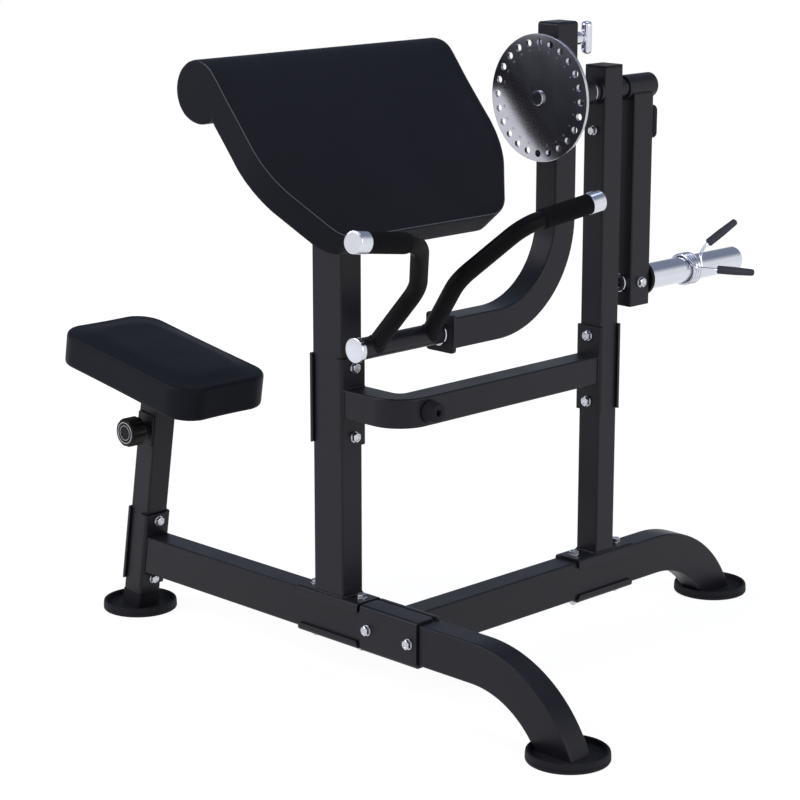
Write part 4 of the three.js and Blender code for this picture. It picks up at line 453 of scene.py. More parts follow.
def turned(name: str, profile: Profile, place: Matrix, sides: int = 48) -> Piece:
    """Raises a round disc along its own +Z, step by step, as on a lathe.

    Args:
        name: the piece's name.
        profile: radius and height of each step, from the first face to the last.
        place: where its own axes go.
        sides: how finely it is divided.

    Returns:
        The closed piece.
    """
    radius, height = profile[0]
    circle = bpy.ops.mesh.primitive_circle_add
    piece = primitive(name, circle, vertices=sides, radius=radius * MM, fill_type="NGON")
    settle(piece, Matrix.Translation(mm(0, 0, height)))
    with editing(piece):
        for (radius, height), (next_radius, next_height) in zip(profile, profile[1:]):
            extrude(mm(0, 0, next_height - height))
            if next_radius != radius:
                share = next_radius / radius
                bpy.ops.transform.resize(value=(share, share, 1), center_override=mm(0, 0, next_height))
        close_up()
    return settle(piece, place)


def rod(radius: float, length: float, chamfer: float = 1.0) -> Profile:
    """Gives the profile of a round bar with chamfered ends."""
    return [(radius - chamfer, 0), (radius, chamfer), (radius, length - chamfer), (radius - chamfer, length)]


def spaced(points: Sequence[Vector], spacing: float, closed: bool) -> list[Vector]:
    """Divides a line evenly.

    Args:
        points: the line's corners.
        spacing: the wanted distance.
        closed: whether the line returns to its start.

    Returns:
        Points at even distances along it.
    """
    line = np.array([tuple(p) for p in points] + ([tuple(points[0])] if closed else []))
    reach = np.concatenate(([0], np.cumsum(np.linalg.norm(np.diff(line, axis=0), axis=1))))
    count = max(3, round(reach[-1] / (spacing * MM)))
    where = np.linspace(0, reach[-1], count + 1)[: count if closed else count + 1]
    return [Vector([float(np.interp(s, reach, line[:, k])) for k in range(3)]) for s in where]


def wire(
    name: str,
    points: Sequence[Vector],
    radius: float,
    closed: bool = False,
    swell: Callable[[int], float] | None = None,
    fineness: int = 2,
) -> Piece:
    """Runs a round wire through points and makes it a mesh.

    Args:
        name: the piece's name.
        points: the line it follows.
        radius: the wire's radius.
        closed: whether it returns to its start.
        swell: gives the share of the radius at each point.
        fineness: how finely the wire is divided round.

    Returns:
        The closed wire.
    """
    curve = bpy.data.curves.new(name, "CURVE")
    curve.dimensions = "3D"
    curve.bevel_depth = radius * MM
    curve.bevel_resolution = fineness
    curve.use_fill_caps = True
    spline = curve.splines.new("POLY")
    spline.points.add(len(points) - 1)
    spline.use_cyclic_u = closed
    for index, (target, point) in enumerate(zip(spline.points, points)):
        target.co = (*point, 1)
        target.radius = swell(index) if swell else 1.0
    activate(linked(name, curve))
    bpy.ops.object.convert(target="MESH")
    piece = bpy.context.object
    with editing(piece):
        close_up()
    return piece


BEAD_PITCH = 4.2
BEAD_STEP = 0.9


def weld_bead(points: Sequence[Vector], radius: float = 2.4, closed: bool = True) -> Piece:
    """Lays a weld bead whose ripples overlap like a row of coins.

    Args:
        points: the line of the joint.
        radius: the bead's radius.
        closed: whether it runs all round the joint.

    Returns:
        The bead as a piece.
    """
    ripple = 2 * pi * BEAD_STEP / BEAD_PITCH

    def swell(index: int) -> float:
        """Gives the bead's share of its radius at a point."""
        return 0.86 + 0.22 * abs(sin(ripple * index / 2)) + 0.04 * sin(index * 0.37)

    return wire("bead", spaced(points, BEAD_STEP, closed), radius, closed, swell, 1)


def ring_points(centre: Vector, axis: Vector, radius: float, count: int = 64) -> list[Vector]:
    """Gives points round a circle.

    Args:
        centre: its middle.
        axis: its axis.
        radius: its radius.
        count: how many points.

    Returns:
        The points in order.
    """
    place = facing(centre, axis)
    angles = [2 * pi * i / count for i in range(count)]
    return [place @ mm(radius * cos(a), radius * sin(a), 0) for a in angles]


def box_weld(place: Matrix, width: float, depth: float) -> Piece:
    """Lays a weld bead round the foot of a box tube, in the x and y of a place.

    Args:
        place: where its own axes go.
        width: the tube's size along x.
        depth: the tube's size along y.

    Returns:
        The bead as a piece.
    """
    points = []
    for quarter in range(4):
        right = 1 if quarter in (0, 3) else -1
        up = 1 if quarter < 2 else -1
        for step in range(5):
            angle = (quarter + step / 4) * pi / 2
            x = right * (width / 2 - TUBE_CORNER) + TUBE_CORNER * cos(angle)
            y = up * (depth / 2 - TUBE_CORNER) + TUBE_CORNER * sin(angle)
            points.append(place @ mm(x, y, 0))
    return weld_bead(points)


def folded_bracket(name: str, length: float, tube_width: float, flange: float, place: Matrix) -> Piece:
    """Folds a plate over a tube: a face against the tube and two flanges back over its sides.

    Args:
        name: the piece's name.
        length: its length along the tube.
        tube_width: the width of the tube that it holds.
        flange: how far the flanges reach over the tube.
        place: where its own axes go: x away from the tube and y along it.

    Returns:
        The folded plate.
    """
    middle = (tube_width / 2 + GAP + PLATE / 2) * MM
    corner = min(PLATE_CORNER, (flange + PLATE) * 0.45)
    piece = primitive(name, bpy.ops.mesh.primitive_plane_add, size=1)
    settle(piece, axes(mm(PLATE / 2, 0, 0), Y, Z) @ Matrix.Diagonal((length * MM, 2 * middle, 1, 1)))
    with editing(piece):
        pick(Kind.EDGE, lambda centre, way: abs(centre.z) > middle - NEAR)
        extrude(mm(-flange - PLATE / 2, 0, 0))
        pick(Kind.EDGE, lambda centre, way: centre.x > NEAR and abs(centre.z) > middle - NEAR
             and abs(way.y) > ALIGNED)
        bpy.ops.mesh.bevel(offset=PLATE_FOLD * MM, segments=4, affect="EDGES")
        pick(Kind.VERTEX, lambda point, normal: point.x < (0.2 - flange) * MM)
        bpy.ops.mesh.bevel(offset=corner * MM, segments=4, affect="VERTICES")
        bpy.ops.mesh.select_all(action="SELECT")
        bpy.ops.mesh.normals_make_consistent(inside=False)
    apply_modifier(piece, "SOLIDIFY", thickness=PLATE * MM, offset=0, use_even_offset=True)
    return settle(piece, place)


def flat_plate(
    name: str, width: float, depth: float, thickness: float, corner: float, place: Matrix
) -> Piece:
    """Cuts a flat plate with round corners that rises along its own +Z.

    Args:
        name: the piece's name.
        width: its size along its own x.
        depth: its size along its own y.
        thickness: its height.
        corner: its corner radius.
        place: where its own axes go.

    Returns:
        The closed plate.
    """
    piece = Section(width, depth, corner).face(name, Vector(), Z, Y)
    with editing(piece):
        extrude(mm(0, 0, thickness))
        close_up()
    return settle(piece, place)


def round_rim(piece: Piece, height: float, radius: float, steps: int) -> None:
    """Rounds the level edges that lie at a height of a piece's own z.

    Args:
        piece: the object to round.
        height: where the edges lie.
        radius: the rounding.
        steps: how many faces it has.
    """
    with editing(piece):
        pick(Kind.EDGE, lambda centre, way: abs(centre.z - height * MM) < NEAR and abs(way.z) < NEAR
             and not (abs(centre.x) < NEAR and abs(way.y) > ALIGNED))
        bpy.ops.mesh.bevel(offset=radius * MM, segments=steps, affect="EDGES")


def merged_copy(node: str) -> Piece:
    """Copies a solid of the frame with its loose triangles merged into clean faces.

    Args:
        node: the solid's name.

    Returns:
        The copy.
    """
    piece = copy_of(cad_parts[node], f"{node}_made")
    piece.data.materials.clear()
    with editing(piece, Kind.VERTEX):
        bpy.ops.mesh.customdata_custom_splitnormals_clear()
        bpy.ops.mesh.remove_doubles(threshold=0.01 * MM)
        bpy.ops.mesh.dissolve_limited(angle_limit=radians(1))
    return piece


def ease_edges(piece: Piece, width: float, smooth: float) -> None:
    """Rounds a piece's sharp edges a little and shades it smooth between them.

    Args:
        piece: the object to finish.
        width: the rounding, or 0 for none.
        smooth: the angle in degrees up to which it is shaded smooth.
    """
    if width:
        sharp = {"limit_method": "ANGLE", "angle_limit": radians(40), "miter_outer": "MITER_ARC"}
        apply_modifier(piece, "BEVEL", width=width * MM, segments=2, **sharp)
    activate(piece)
    bpy.ops.object.shade_smooth_by_angle(angle=radians(smooth))
    apply_modifier(piece, "WEIGHTED_NORMAL", keep_sharp=True, weight=100)


# Finishes


def linear(colour: str) -> tuple[float, float, float, float]:
    """Turns an sRGB hex colour into a linear one.

    Args:
        colour: six hex digits.

    Returns:
        Linear red, green and blue, and full alpha.
    """
    parts = [int(colour[i:i + 2], 16) / 255 for i in (0, 2, 4)]
    curve = [c / 12.92 if c <= 0.04045 else ((c + 0.055) / 1.055) ** 2.4 for c in parts]
    return (*curve, 1.0)


def add_node(tree: Tree, kind: str, inputs: dict | None = None, **settings: object) -> Node:
    """Adds a shader node with its settings, values and links.

    Args:
        tree: the material's or the world's nodes.
        kind: the node's type, without its prefix.
        inputs: what each input, by name or number, is set to or linked from; a node gives its first output.
        settings: the node's properties by name.

    Returns:
        The node.
    """
    node = tree.nodes.new(f"ShaderNode{kind}")
    for name, value in settings.items():
        setattr(node, name, value)
    for key, value in (inputs or {}).items():
        value = value.outputs[0] if isinstance(value, Node) else value
        if isinstance(value, Socket):
            tree.links.new(value, node.inputs[key])
        else:
            node.inputs[key].default_value = value
    return node


def emptied(owner: bpy.types.Material | bpy.types.World) -> Tree:
    """Clears a material's or a world's nodes.

    Args:
        owner: the material or world.

    Returns:
        Its nodes, ready to be added to.
    """
    owner.use_nodes = True
    owner.node_tree.nodes.clear()
    return owner.node_tree


def sized(place: Socket | Node, grain: float, **inputs: float) -> dict:
    """Gives a pattern's inputs, its scale from the real size of its grains."""
    return {"Vector": place, "Scale": 1 / (grain * MM), **inputs}


@dataclass(frozen=True)
class Finish:
    """What a surface is made of and how it was made, with colours that vary a little over it.

    base and shade are the colours it varies between, over patches of patch millimetres.
    """

    name: str
    slot: Slot
    base: str
    shade: str
    patch: float
    smoothest: float
    roughest: float
    metallic: float = 0.0
    specular: float = 0.5

    def material(self) -> bpy.types.Material:
        """Builds the material once.

        Returns:
            The material of this finish.
        """
        made = bpy.data.materials.get(self.name)
        if made:
            return made
        made = bpy.data.materials.new(self.name)
        tree = emptied(made)
        place = add_node(tree, "TexCoord").outputs["Object"]
        cloud = add_node(tree, "TexNoise", sized(place, self.patch, Detail=3.0))
        colours = {0: cloud, 6: linear(self.base), 7: linear(self.shade)}
        tint = add_node(tree, "Mix", colours, data_type="RGBA").outputs[2]
        spread = {"Value": cloud, 1: 0.3, 2: 0.7, 3: self.smoothest, 4: self.roughest}
        shader = add_node(tree, "BsdfPrincipled", {
            "Base Color": self.colour(tree, place, tint),
            "Roughness": self.gloss(tree, place, add_node(tree, "MapRange", spread)),
            "Metallic": self.metallic,
            "Specular IOR Level": self.specular,
        })
        relief = self.relief(tree, place)
        if relief:
            tree.links.new(relief.outputs[0], shader.inputs["Normal"])
        add_node(tree, "OutputMaterial", {"Surface": shader})
        return made

    def colour(self, tree: Tree, place: Socket, tint: Socket) -> Socket:
        """Gives the colour socket; a finish with marks of its own adds them here."""
        return tint

    def gloss(self, tree: Tree, place: Socket, roughness: Node) -> Node:
        """Gives the roughness; a finish with smears of its own adds them here."""
        return roughness

    def relief(self, tree: Tree, place: Socket) -> Node | None:
        """Gives the normal of the finish's fine relief, if it has one."""
        return None


@dataclass(frozen=True)
class PowderCoat(Finish):
    """Black polyester powder baked on steel: satin, with a soft orange-peel skin and paler edges that are a
    painted highlight.
    """

    # The real peel is about 1 mm across; it is drawn at 2.4 mm, or it would not show.
    peel: float = 2.4
    # The paler colour of the sharp edges: a painted highlight.
    edge_highlight: str = "2c2c30"

    def colour(self, tree: Tree, place: Socket, tint: Socket) -> Socket:
        """Pales the coat over its sharp edges: a painted highlight along them.

        Args:
            tree: the material's nodes.
            place: the coordinates.
            tint: the coat's colour.

        Returns:
            The colour with the painted edge highlight.
        """
        # Pointiness finds the sharp edges, and they get a painted highlight.
        edge = add_node(tree, "NewGeometry").outputs["Pointiness"]
        highlit_edges = add_node(tree, "MapRange", {"Value": edge, 1: 0.53, 2: 0.62, 3: 0.0, 4: 0.5})
        return add_node(tree, "Mix", {0: highlit_edges, 6: tint, 7: linear(self.edge_highlight)}, data_type="RGBA").outputs[2]

    def relief(self, tree: Tree, place: Socket) -> Node:
        """Raises the orange peel."""
        skin = add_node(tree, "TexNoise", sized(place, self.peel, Detail=1.0))
        return add_node(tree, "Bump", {"Strength": 0.12, "Distance": 0.15 * MM, "Height": skin})


@dataclass(frozen=True)
class GrainedVinyl(Finish):
    """Calendered PVC upholstery cloth: a pebbled leather grain that breaks up a soft satin gloss."""

    # The real pebbles are about 0.9 mm across; they are drawn at 1.6 mm to show.
    pebble: float = 1.6
    fold: float = 60.0

    def relief(self, tree: Tree, place: Socket) -> Node:
        """Raises the pebbles, over broad and very shallow waves of the padding below.

        Args:
            tree: the material's nodes.
            place: the coordinates.

        Returns:
            The relief.
        """
        cells = sized(place, self.pebble, Randomness=0.9)
        edges = add_node(tree, "TexVoronoi", cells, feature="DISTANCE_TO_EDGE")
        dome = add_node(tree, "MapRange", {"Value": edges, 1: 0.0, 2: 0.22})
        waves = add_node(tree, "TexNoise", sized(place, self.fold))
        soft = add_node(tree, "Bump", {"Strength": 0.25, "Distance": 1.2 * MM, "Height": waves})
        pebbles = {"Strength": 0.22, "Distance": 0.12 * MM, "Height": dome, "Normal": soft}
        return add_node(tree, "Bump", pebbles)


@dataclass(frozen=True)
class Moulded(Finish):
    """Moulded rubber, foam or plastic: a fine even speckle from the mould or the cut cells."""

    speckle: float = 1.2
    depth: float = 0.1
    strength: float = 0.3

    def relief(self, tree: Tree, place: Socket) -> Node:
        """Raises the speckle."""
        pits = add_node(tree, "TexNoise", sized(place, self.speckle, Detail=4.0))
        return add_node(tree, "Bump", {
            "Strength": self.strength, "Distance": self.depth * MM, "Height": pits,
        })


@dataclass(frozen=True)
class Plated(Finish):
    """Electroplated steel: a bright mirror or a pale zinc, with polishing smears that dull it in places."""

    scratch: float = 0.7

    def gloss(self, tree: Tree, place: Socket, roughness: Node) -> Node:
        """Adds fine polishing marks to the gloss.

        Args:
            tree: the material's nodes.
            place: the coordinates.
            roughness: the plain roughness.

        Returns:
            The roughness with the marks.
        """
        marks = add_node(tree, "TexNoise", sized(place, self.scratch, Detail=2.0))
        fine = add_node(tree, "MapRange", {"Value": marks, 1: 0.4, 2: 0.8, 3: 0.0, 4: 0.06})
        return add_node(tree, "Math", {0: roughness, 1: fine}, operation="ADD")


@dataclass(frozen=True)
class FacedSteel(Finish):
    """Steel faced on a lathe and dark chromed: fine concentric marks draw the light out into a wedge."""

    # The real tool marks are 0.2 mm apart; they are drawn at 1.4 mm to show.
    pitch: float = 1.4

    def relief(self, tree: Tree, place: Socket) -> Node:
        """Cuts the concentric marks round the shaft's axis.

        Args:
            tree: the material's nodes.
            place: the coordinates.

        Returns:
            The relief.
        """
        centred = add_node(tree, "Mapping", {"Vector": place, "Location": -at(SIDE_X, 0, PIVOT_Z)})
        # The wave's rings are 0.314 apart at scale 1.
        wave = {"Vector": centred, "Scale": 0.314 / (self.pitch * MM)}
        rings = add_node(tree, "TexWave", wave, wave_type="RINGS", rings_direction="Y").outputs["Fac"]
        return add_node(tree, "Bump", {"Strength": 0.08, "Distance": 0.05 * MM, "Height": rings})


@dataclass(frozen=True)
class Plywood(Finish):
    """Rotary-cut birch plywood: pale, with darker grain along the board."""

    grain: float = 9.0
    streak: str = "7d5c37"

    def colour(self, tree: Tree, place: Socket, tint: Socket) -> Socket:
        """Draws the grain in long streaks.

        Args:
            tree: the material's nodes.
            place: the coordinates.
            tint: the wood's colour.

        Returns:
            The colour with the grain.
        """
        long = add_node(tree, "Mapping", {"Vector": place, "Scale": (0.12, 1.0, 1.0)})
        streaks = add_node(tree, "TexNoise", sized(long, self.grain, Detail=5.0))
        colours = {0: streaks, 6: tint, 7: linear(self.streak)}
        return add_node(tree, "Mix", colours, data_type="RGBA").outputs[2]


PAINT = PowderCoat("powder_coated_steel", Slot.PAINT, "15151b", "1a1a21", 90, 0.34, 0.42, specular=0.21)
MATT = PowderCoat("fine_textured_powder", Slot.PAINT, "060607", "09090a", 30, 0.46, 0.56, specular=0.07)
VINYL = GrainedVinyl("grained_vinyl", Slot.VINYL, "1a1b20", "1e1f25", 120, 0.42, 0.52, specular=0.055)
# The welt's pale colour is a painted highlight along the arm pad's front edge.
SEAM_PAINTED_HIGHLIGHT = GrainedVinyl("vinyl_seam_painted_highlight", Slot.VINYL, "4b4b53", "404048", 40, 0.34, 0.44, specular=0.4)
FOAM = Moulded("cut_nitrile_foam", Slot.FOAM, "0a0a0b", "0e0e10", 12, 0.85, 0.95, specular=0.1,
               speckle=1.6, depth=0.35, strength=0.5)
RUBBER = Moulded("moulded_rubber", Slot.RUBBER, "1a1a1e", "202024", 40, 0.62, 0.78, specular=0.15,
                 speckle=0.9, depth=0.08)
PLASTIC = Moulded("moulded_nylon", Slot.PLASTIC, "070708", "0c0c0d", 25, 0.38, 0.48, specular=0.14,
                  speckle=0.6, depth=0.04, strength=0.2)
SLEEVE = Moulded("dipped_vinyl_sleeve", Slot.PLASTIC, "3e3e46", "36363e", 25, 0.5, 0.6, specular=0.2,
                 speckle=1.2, depth=0.06, strength=0.2)
CHROME = Plated("chrome_plated_steel", Slot.CHROME, "d8dae2", "cccfd8", 30, 0.08, 0.15, metallic=1.0)
ZINC = Plated("zinc_plated_bolt", Slot.CHROME, "d0d2d8", "b4b6be", 8, 0.16, 0.30, metallic=1.0)
STEEL = Plated("ground_steel", Slot.STEEL, "b8b9bf", "9e9fa5", 15, 0.16, 0.28, metallic=1.0)
DISC_FACE = FacedSteel("faced_dark_chrome", Slot.STEEL, "c4c4ce", "b4b4be", 60, 0.19, 0.23, metallic=1.0)
INK = Moulded("pad_printed_ink", Slot.PLASTIC, "d8d8da", "c8c8ca", 3, 0.5, 0.6, speckle=0.5, depth=0.02)
GREY_INK = Moulded("worn_etched_digits", Slot.PLASTIC, "8c8c92", "707076", 3, 0.5, 0.6, speckle=0.5,
                   depth=0.02)
WOOD = Plywood("birch_plywood", Slot.PLYWOOD, "b8925f", "a5804f", 35, 0.6, 0.75)


def mount(
    piece: Piece, body: Body, finish: Finish, node: str = "", ease: float | None = 0.8, smooth: float = 38.0
) -> None:
    """Eases a piece's edges, gives it its material and its body, and hides the solid that it stands for.

    Args:
        piece: the shaped object.
        body: the body it moves with.
        finish: its finish.
        node: the solid that it replaces; without one, the solid that has its name before _made, if any.
        ease: how far its edges are rounded, or None to leave its edges and shading alone.
        smooth: the angle in degrees up to which it is shaded smooth.
    """
    if ease is not None:
        ease_edges(piece, ease, smooth)
    piece.data.materials.clear()
    piece.data.materials.append(finish.material())
    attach(piece, body.value)
    node = node or piece.name.removesuffix("_made")
    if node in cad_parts:
        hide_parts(node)
    log.info("%s on %s, %s, %d faces", piece.name, body.value, finish.name, len(piece.data.polygons))


# Frame


@dataclass
class Rails:
    """The two floor rails with their curved legs, their end brackets and their welds."""

    bend_radius: float = 212.0
    turn: float = 70.0
    stub: float = 10.0
    main_bend_x: float = 355.0
    side_bend_y: float = 687.0
    post_flange: float = 20.0
    clamp_far_flange: float = 7.0

    def build(self) -> None:
        """Makes both rails."""
        self.main_rail()
        self.side_rail()

    def rail(self, name: str, start: Vector, bend: Vector, way: Vector, side: Vector) -> Piece:
        """Extrudes a rail, spins its leg down and trims the leg just over its foot's floor.

        Args:
            name: the piece's name.
            start: the rail's start.
            bend: where its bend starts.
            way: the way it runs.
            side: the level direction across it.

        Returns:
            The rail as a closed bar.
        """
        turn = radians(self.turn)
        tangent = self.bend_radius * tan(turn / 2) * MM
        corner = bend + way * tangent
        down = way * cos(turn) - Z * sin(turn)
        end = corner + down * (tangent + self.stub * MM)
        section = Section(RAIL_HEIGHT, TUBE, TUBE_CORNER)
        piece = bent_bar(name, [start, corner, end], [self.bend_radius], section, side)
        trim(piece, at(0, 0, FOOT_BASE + GAP), -Z)
        return piece

    def main_rail(self) -> None:
        """Makes the main rail, mitred against the leaning seat post, with its bracket welded on."""
        lean = radians(POST_LEAN)
        start = at(POST_FOOT_X + RAIL_Z * tan(lean), 0, RAIL_Z)
        tube = self.rail("tube", start, at(self.main_bend_x, 0, RAIL_Z), X, Y)
        outwards = POST.to_3x3() @ X
        trim(tube, POST @ mm(HALF + GAP + 1, 0, 0), -outwards)
        origin = mm(HALF + GAP, 0, POST_JOINT)
        place = POST @ axes(origin, X, Z)
        bracket = folded_bracket("bracket", POST_BRACKET, TUBE, self.post_flange, place)
        weld_at = POST @ mm(HALF + GAP + PLATE, 0, 0)
        across = outwards.cross(Y)
        rail_middle = weld_at + across * ((start - weld_at).dot(across))
        weld = box_weld(axes(rail_middle, Y, across), TUBE, RAIL_HEIGHT)
        whole = joined("main_rail_made", tube, bracket, weld)
        mount(whole, Body.FRAME, PAINT)

    def side_rail(self) -> None:
        """Makes the side rail with the far half of the junction clamp welded on its end."""
        start = at(SIDE_X, OUTER - PLATE / 2, RAIL_Z)
        tube = self.rail("tube", start, at(SIDE_X, self.side_bend_y, RAIL_Z), Y, X)
        place = axes(at(SIDE_X, HALF + GAP, RAIL_Z), Y, X)
        bracket = folded_bracket("bracket", CLAMP_LENGTH, RAIL_HEIGHT, self.clamp_far_flange, place)
        weld = box_weld(axes(at(SIDE_X, OUTER, RAIL_Z), X, Z), TUBE, RAIL_HEIGHT)
        whole = joined("side_rail_made", tube, bracket, weld)
        mount(whole, Body.FRAME, PAINT)


@dataclass
class Uprights:
    """The front upright with its sloped plate, and the rear upright with its bearing tube."""

    saddle_length: float = 158.0
    saddle_flange: float = 14.0
    front_depth: float = 75.0
    rear_top: float = 1085.7
    plug_cap: float = 4.0
    plate_start: float = 70.0
    plate_end: float = 290.0
    plate_width: float = 130.0
    roll_clearance: float = 4.0
    front_boss_radius: float = 25.0
    front_boss_collar: float = 6.0
    rear_boss_radius: float = 23.0
    front_bearing_y: float = 487.3
    rear_bearing_y: float = 573.0
    front_flange: float = 21.5
    rear_flange: float = 18.5
    flange: float = 3.7
    bearing_bore: float = 14.0
    bearing_radius: float = 17.0
    bearing_depth: float = 20.0

    def build(self) -> None:
        """Makes both uprights, the plug and the two bearings."""
        self.front_upright()
        self.rear_upright()
        self.bearings()

    def front_upright(self) -> None:
        """Makes the front upright, cut to the slope of the pad and hollowed for its roll."""
        base = folded_bracket(
            "saddle", self.saddle_length, TUBE, self.saddle_flange, axes(at(0, 0, SADDLE_Z), Z, X)
        )
        foot, top = at(0, 0, SADDLE_Z + PLATE / 2), at(0, 0, ROLL_Z + ROLL_RADIUS)
        post = bent_bar("post", [foot, top], [], Section(self.front_depth, TUBE, TUBE_CORNER), Y)
        plate_top = ROLL_RADIUS - SLAB_THICKNESS - GAP
        trim(post, PAD @ mm(0, 0, plate_top - PLATE / 2), PAD.to_3x3() @ Z)
        reach = ROLL_RADIUS + self.roll_clearance
        roll = turned("roll", [(reach, -TUBE), (reach, TUBE)], facing(at(ROLL_X, 0, ROLL_Z), Y), 96)
        cut_with(post, roll)
        middle = (self.plate_start + self.plate_end) / 2
        plate = flat_plate(
            "plate", self.plate_end - self.plate_start, self.plate_width, PLATE, 2,
            PAD @ Matrix.Translation(mm(middle, 0, plate_top - PLATE)),
        )
        weld = box_weld(axes(at(0, 0, SADDLE_Z + PLATE), X, Y), self.front_depth, TUBE)
        whole = joined("front_upright_made", post, base, plate, weld)
        mount(whole, Body.FRAME, PAINT)

    def rear_upright(self) -> None:
        """Makes the rear upright, its saddle, the bosses of its bearing tube, and its plug."""
        base = folded_bracket(
            "saddle", self.saddle_length, TUBE, self.saddle_flange, axes(at(SIDE_X, REAR_Y, SADDLE_Z), Z, Y)
        )
        foot, top = at(SIDE_X, REAR_Y, SADDLE_Z + PLATE / 2), at(SIDE_X, REAR_Y, self.rear_top)
        post = bent_bar("post", [foot, top], [], Section(TUBE, TUBE, TUBE_CORNER), Y)
        front, back = REAR_Y - HALF, REAR_Y + HALF
        wide, narrow = self.front_boss_radius, self.front_boss_radius - TUBE_WALL
        step = front - self.front_boss_collar - self.front_bearing_y
        inside = front + TUBE_WALL - self.front_bearing_y
        profile = [(narrow - 1, 0), (narrow, 1), (narrow, step), (wide, step), (wide, inside)]
        boss = turned("boss", profile, on_side(self.front_bearing_y, PIVOT_Z))
        small, reach = self.rear_boss_radius - TUBE_WALL, self.rear_bearing_y - back
        profile = [(small, -TUBE_WALL), (small, reach - 1), (small - 1, reach)]
        rear_boss = turned("boss", profile, on_side(back, PIVOT_Z))
        parts = [post, base, boss, rear_boss]
        parts.append(box_weld(axes(at(SIDE_X, REAR_Y, SADDLE_Z + PLATE), X, Y), TUBE, TUBE))
        parts.append(weld_bead(ring_points(at(SIDE_X, back, PIVOT_Z), Y, small)))
        mount(joined("rear_upright_made", *parts), Body.FRAME, PAINT)
        cap = flat_plate(
            "rear_upright_plug_made", TUBE, TUBE, self.plug_cap, TUBE_CORNER,
            axes(at(SIDE_X, REAR_Y, self.rear_top + GAP), X, Y),
        )
        mount(cap, Body.FRAME, PLASTIC, ease=1.2)

    def bearings(self) -> None:
        """Makes the two flanged bushes that the shaft turns in."""
        for name, y, way, radius in (
            ("front_bearing", self.front_bearing_y, -1, self.front_flange),
            ("rear_bearing", self.rear_bearing_y, 1, self.rear_flange),
        ):
            bore, bush, flange = self.bearing_bore, self.bearing_radius, self.flange
            profile = [
                (bush, -self.bearing_depth), (bush, 0), (radius - 0.6, 0), (radius, 0.6),
                (radius, flange - 0.6), (radius - 0.6, flange), (bore + 1.6, flange), (bore, flange - 1.6),
                (bore, flange - 3),
            ]
            place = facing(at(SIDE_X, y + way * GAP, PIVOT_Z), way * Y)
            bush = turned(f"{name}_made", profile, place)
            mount(bush, Body.FRAME, STEEL, ease=0)


@dataclass
class CrossMember:
    """The cross member bent in plan, its brackets, and the bumper where the handle bar comes down."""

    height: float = 53.0
    bend_radius: float = 40.0
    front_flange: float = 17.0
    rear_flange: float = 10.0
    bumper_y: float = 48.0

    def build(self) -> None:
        """Makes the member and its bumper."""
        rear_face = REAR_Y - HALF - GAP
        corners = [
            at(CROSS_FACE + PLATE / 2, 0, CROSS_Z),
            at(SIDE_X, 0, CROSS_Z),
            at(SIDE_X, rear_face - PLATE / 2, CROSS_Z),
        ]
        tube = bent_bar("tube", corners, [self.bend_radius], Section(TUBE, self.height, TUBE_CORNER), Z)
        front_place = axes(at(CROSS_FACE, 0, CROSS_Z), X, Z)
        rear_place = axes(at(SIDE_X, rear_face, CROSS_Z), -Y, Z)
        parts = [
            tube,
            folded_bracket("bracket", CROSS_BRACKET, TUBE, self.front_flange, front_place),
            folded_bracket("bracket", CROSS_BRACKET, TUBE, self.rear_flange, rear_place),
            box_weld(axes(at(CROSS_FACE + PLATE, 0, CROSS_Z), Y, Z), TUBE, self.height),
            box_weld(axes(at(SIDE_X, rear_face - PLATE, CROSS_Z), X, Z), TUBE, self.height),
        ]
        mount(joined("cross_member_made", *parts), Body.FRAME, PAINT)
        profile = [
            (4, -12), (4, GAP), (20, GAP), (21, 1.6), (17.6, 21), (16.6, 23.2), (14.5, 24),
            (7, 24), (5.5, 22.6), (5.5, 12),
        ]
        bumper = turned("cross_bumper_made", profile, facing(at(SIDE_X + HALF, self.bumper_y, CROSS_Z), X))
        mount(bumper, Body.FRAME, RUBBER, ease=0)


@dataclass
class LooseBrackets:
    """The folded plates that the bolts clamp against the far sides of the joints."""

    under_length: float = 156.0
    under_flange: float = 10.0
    clamp_flange: float = 40.0
    back_flange: float = 5.0

    def build(self) -> None:
        """Makes the six loose brackets."""
        low = RAIL_Z - RAIL_HEIGHT / 2 - GAP
        long, deep, back = self.under_length, self.under_flange, self.back_flange
        clamp_place = axes(at(SIDE_X, -HALF - GAP, RAIL_Z), -Y, X)
        cross_place = axes(at(SIDE_X, REAR_Y + HALF + GAP, CROSS_Z), Y, Z)
        post_place = POST @ axes(mm(-HALF - GAP, 0, POST_JOINT), -X, Z)
        rows = (
            ("front_under_bracket", long, TUBE, deep, axes(at(0, 0, low), -Z, X)),
            ("rear_under_bracket", long, TUBE, deep, axes(at(SIDE_X, REAR_Y, low), -Z, Y)),
            ("rail_clamp_bracket", CLAMP_LENGTH, RAIL_HEIGHT, self.clamp_flange, clamp_place),
            ("cross_front_back_bracket", CROSS_BRACKET, TUBE, back, axes(at(-CROSS_FACE, 0, CROSS_Z), -X, Z)),
            ("cross_rear_back_bracket", CROSS_BRACKET, TUBE, back, cross_place),
            ("seat_post_back_bracket", POST_BRACKET, TUBE, back, post_place),
        )
        for node, length, width, flange, place in rows:
            piece = folded_bracket(f"{node}_made", length, width, flange, place)
            mount(piece, Body.FRAME, PAINT)


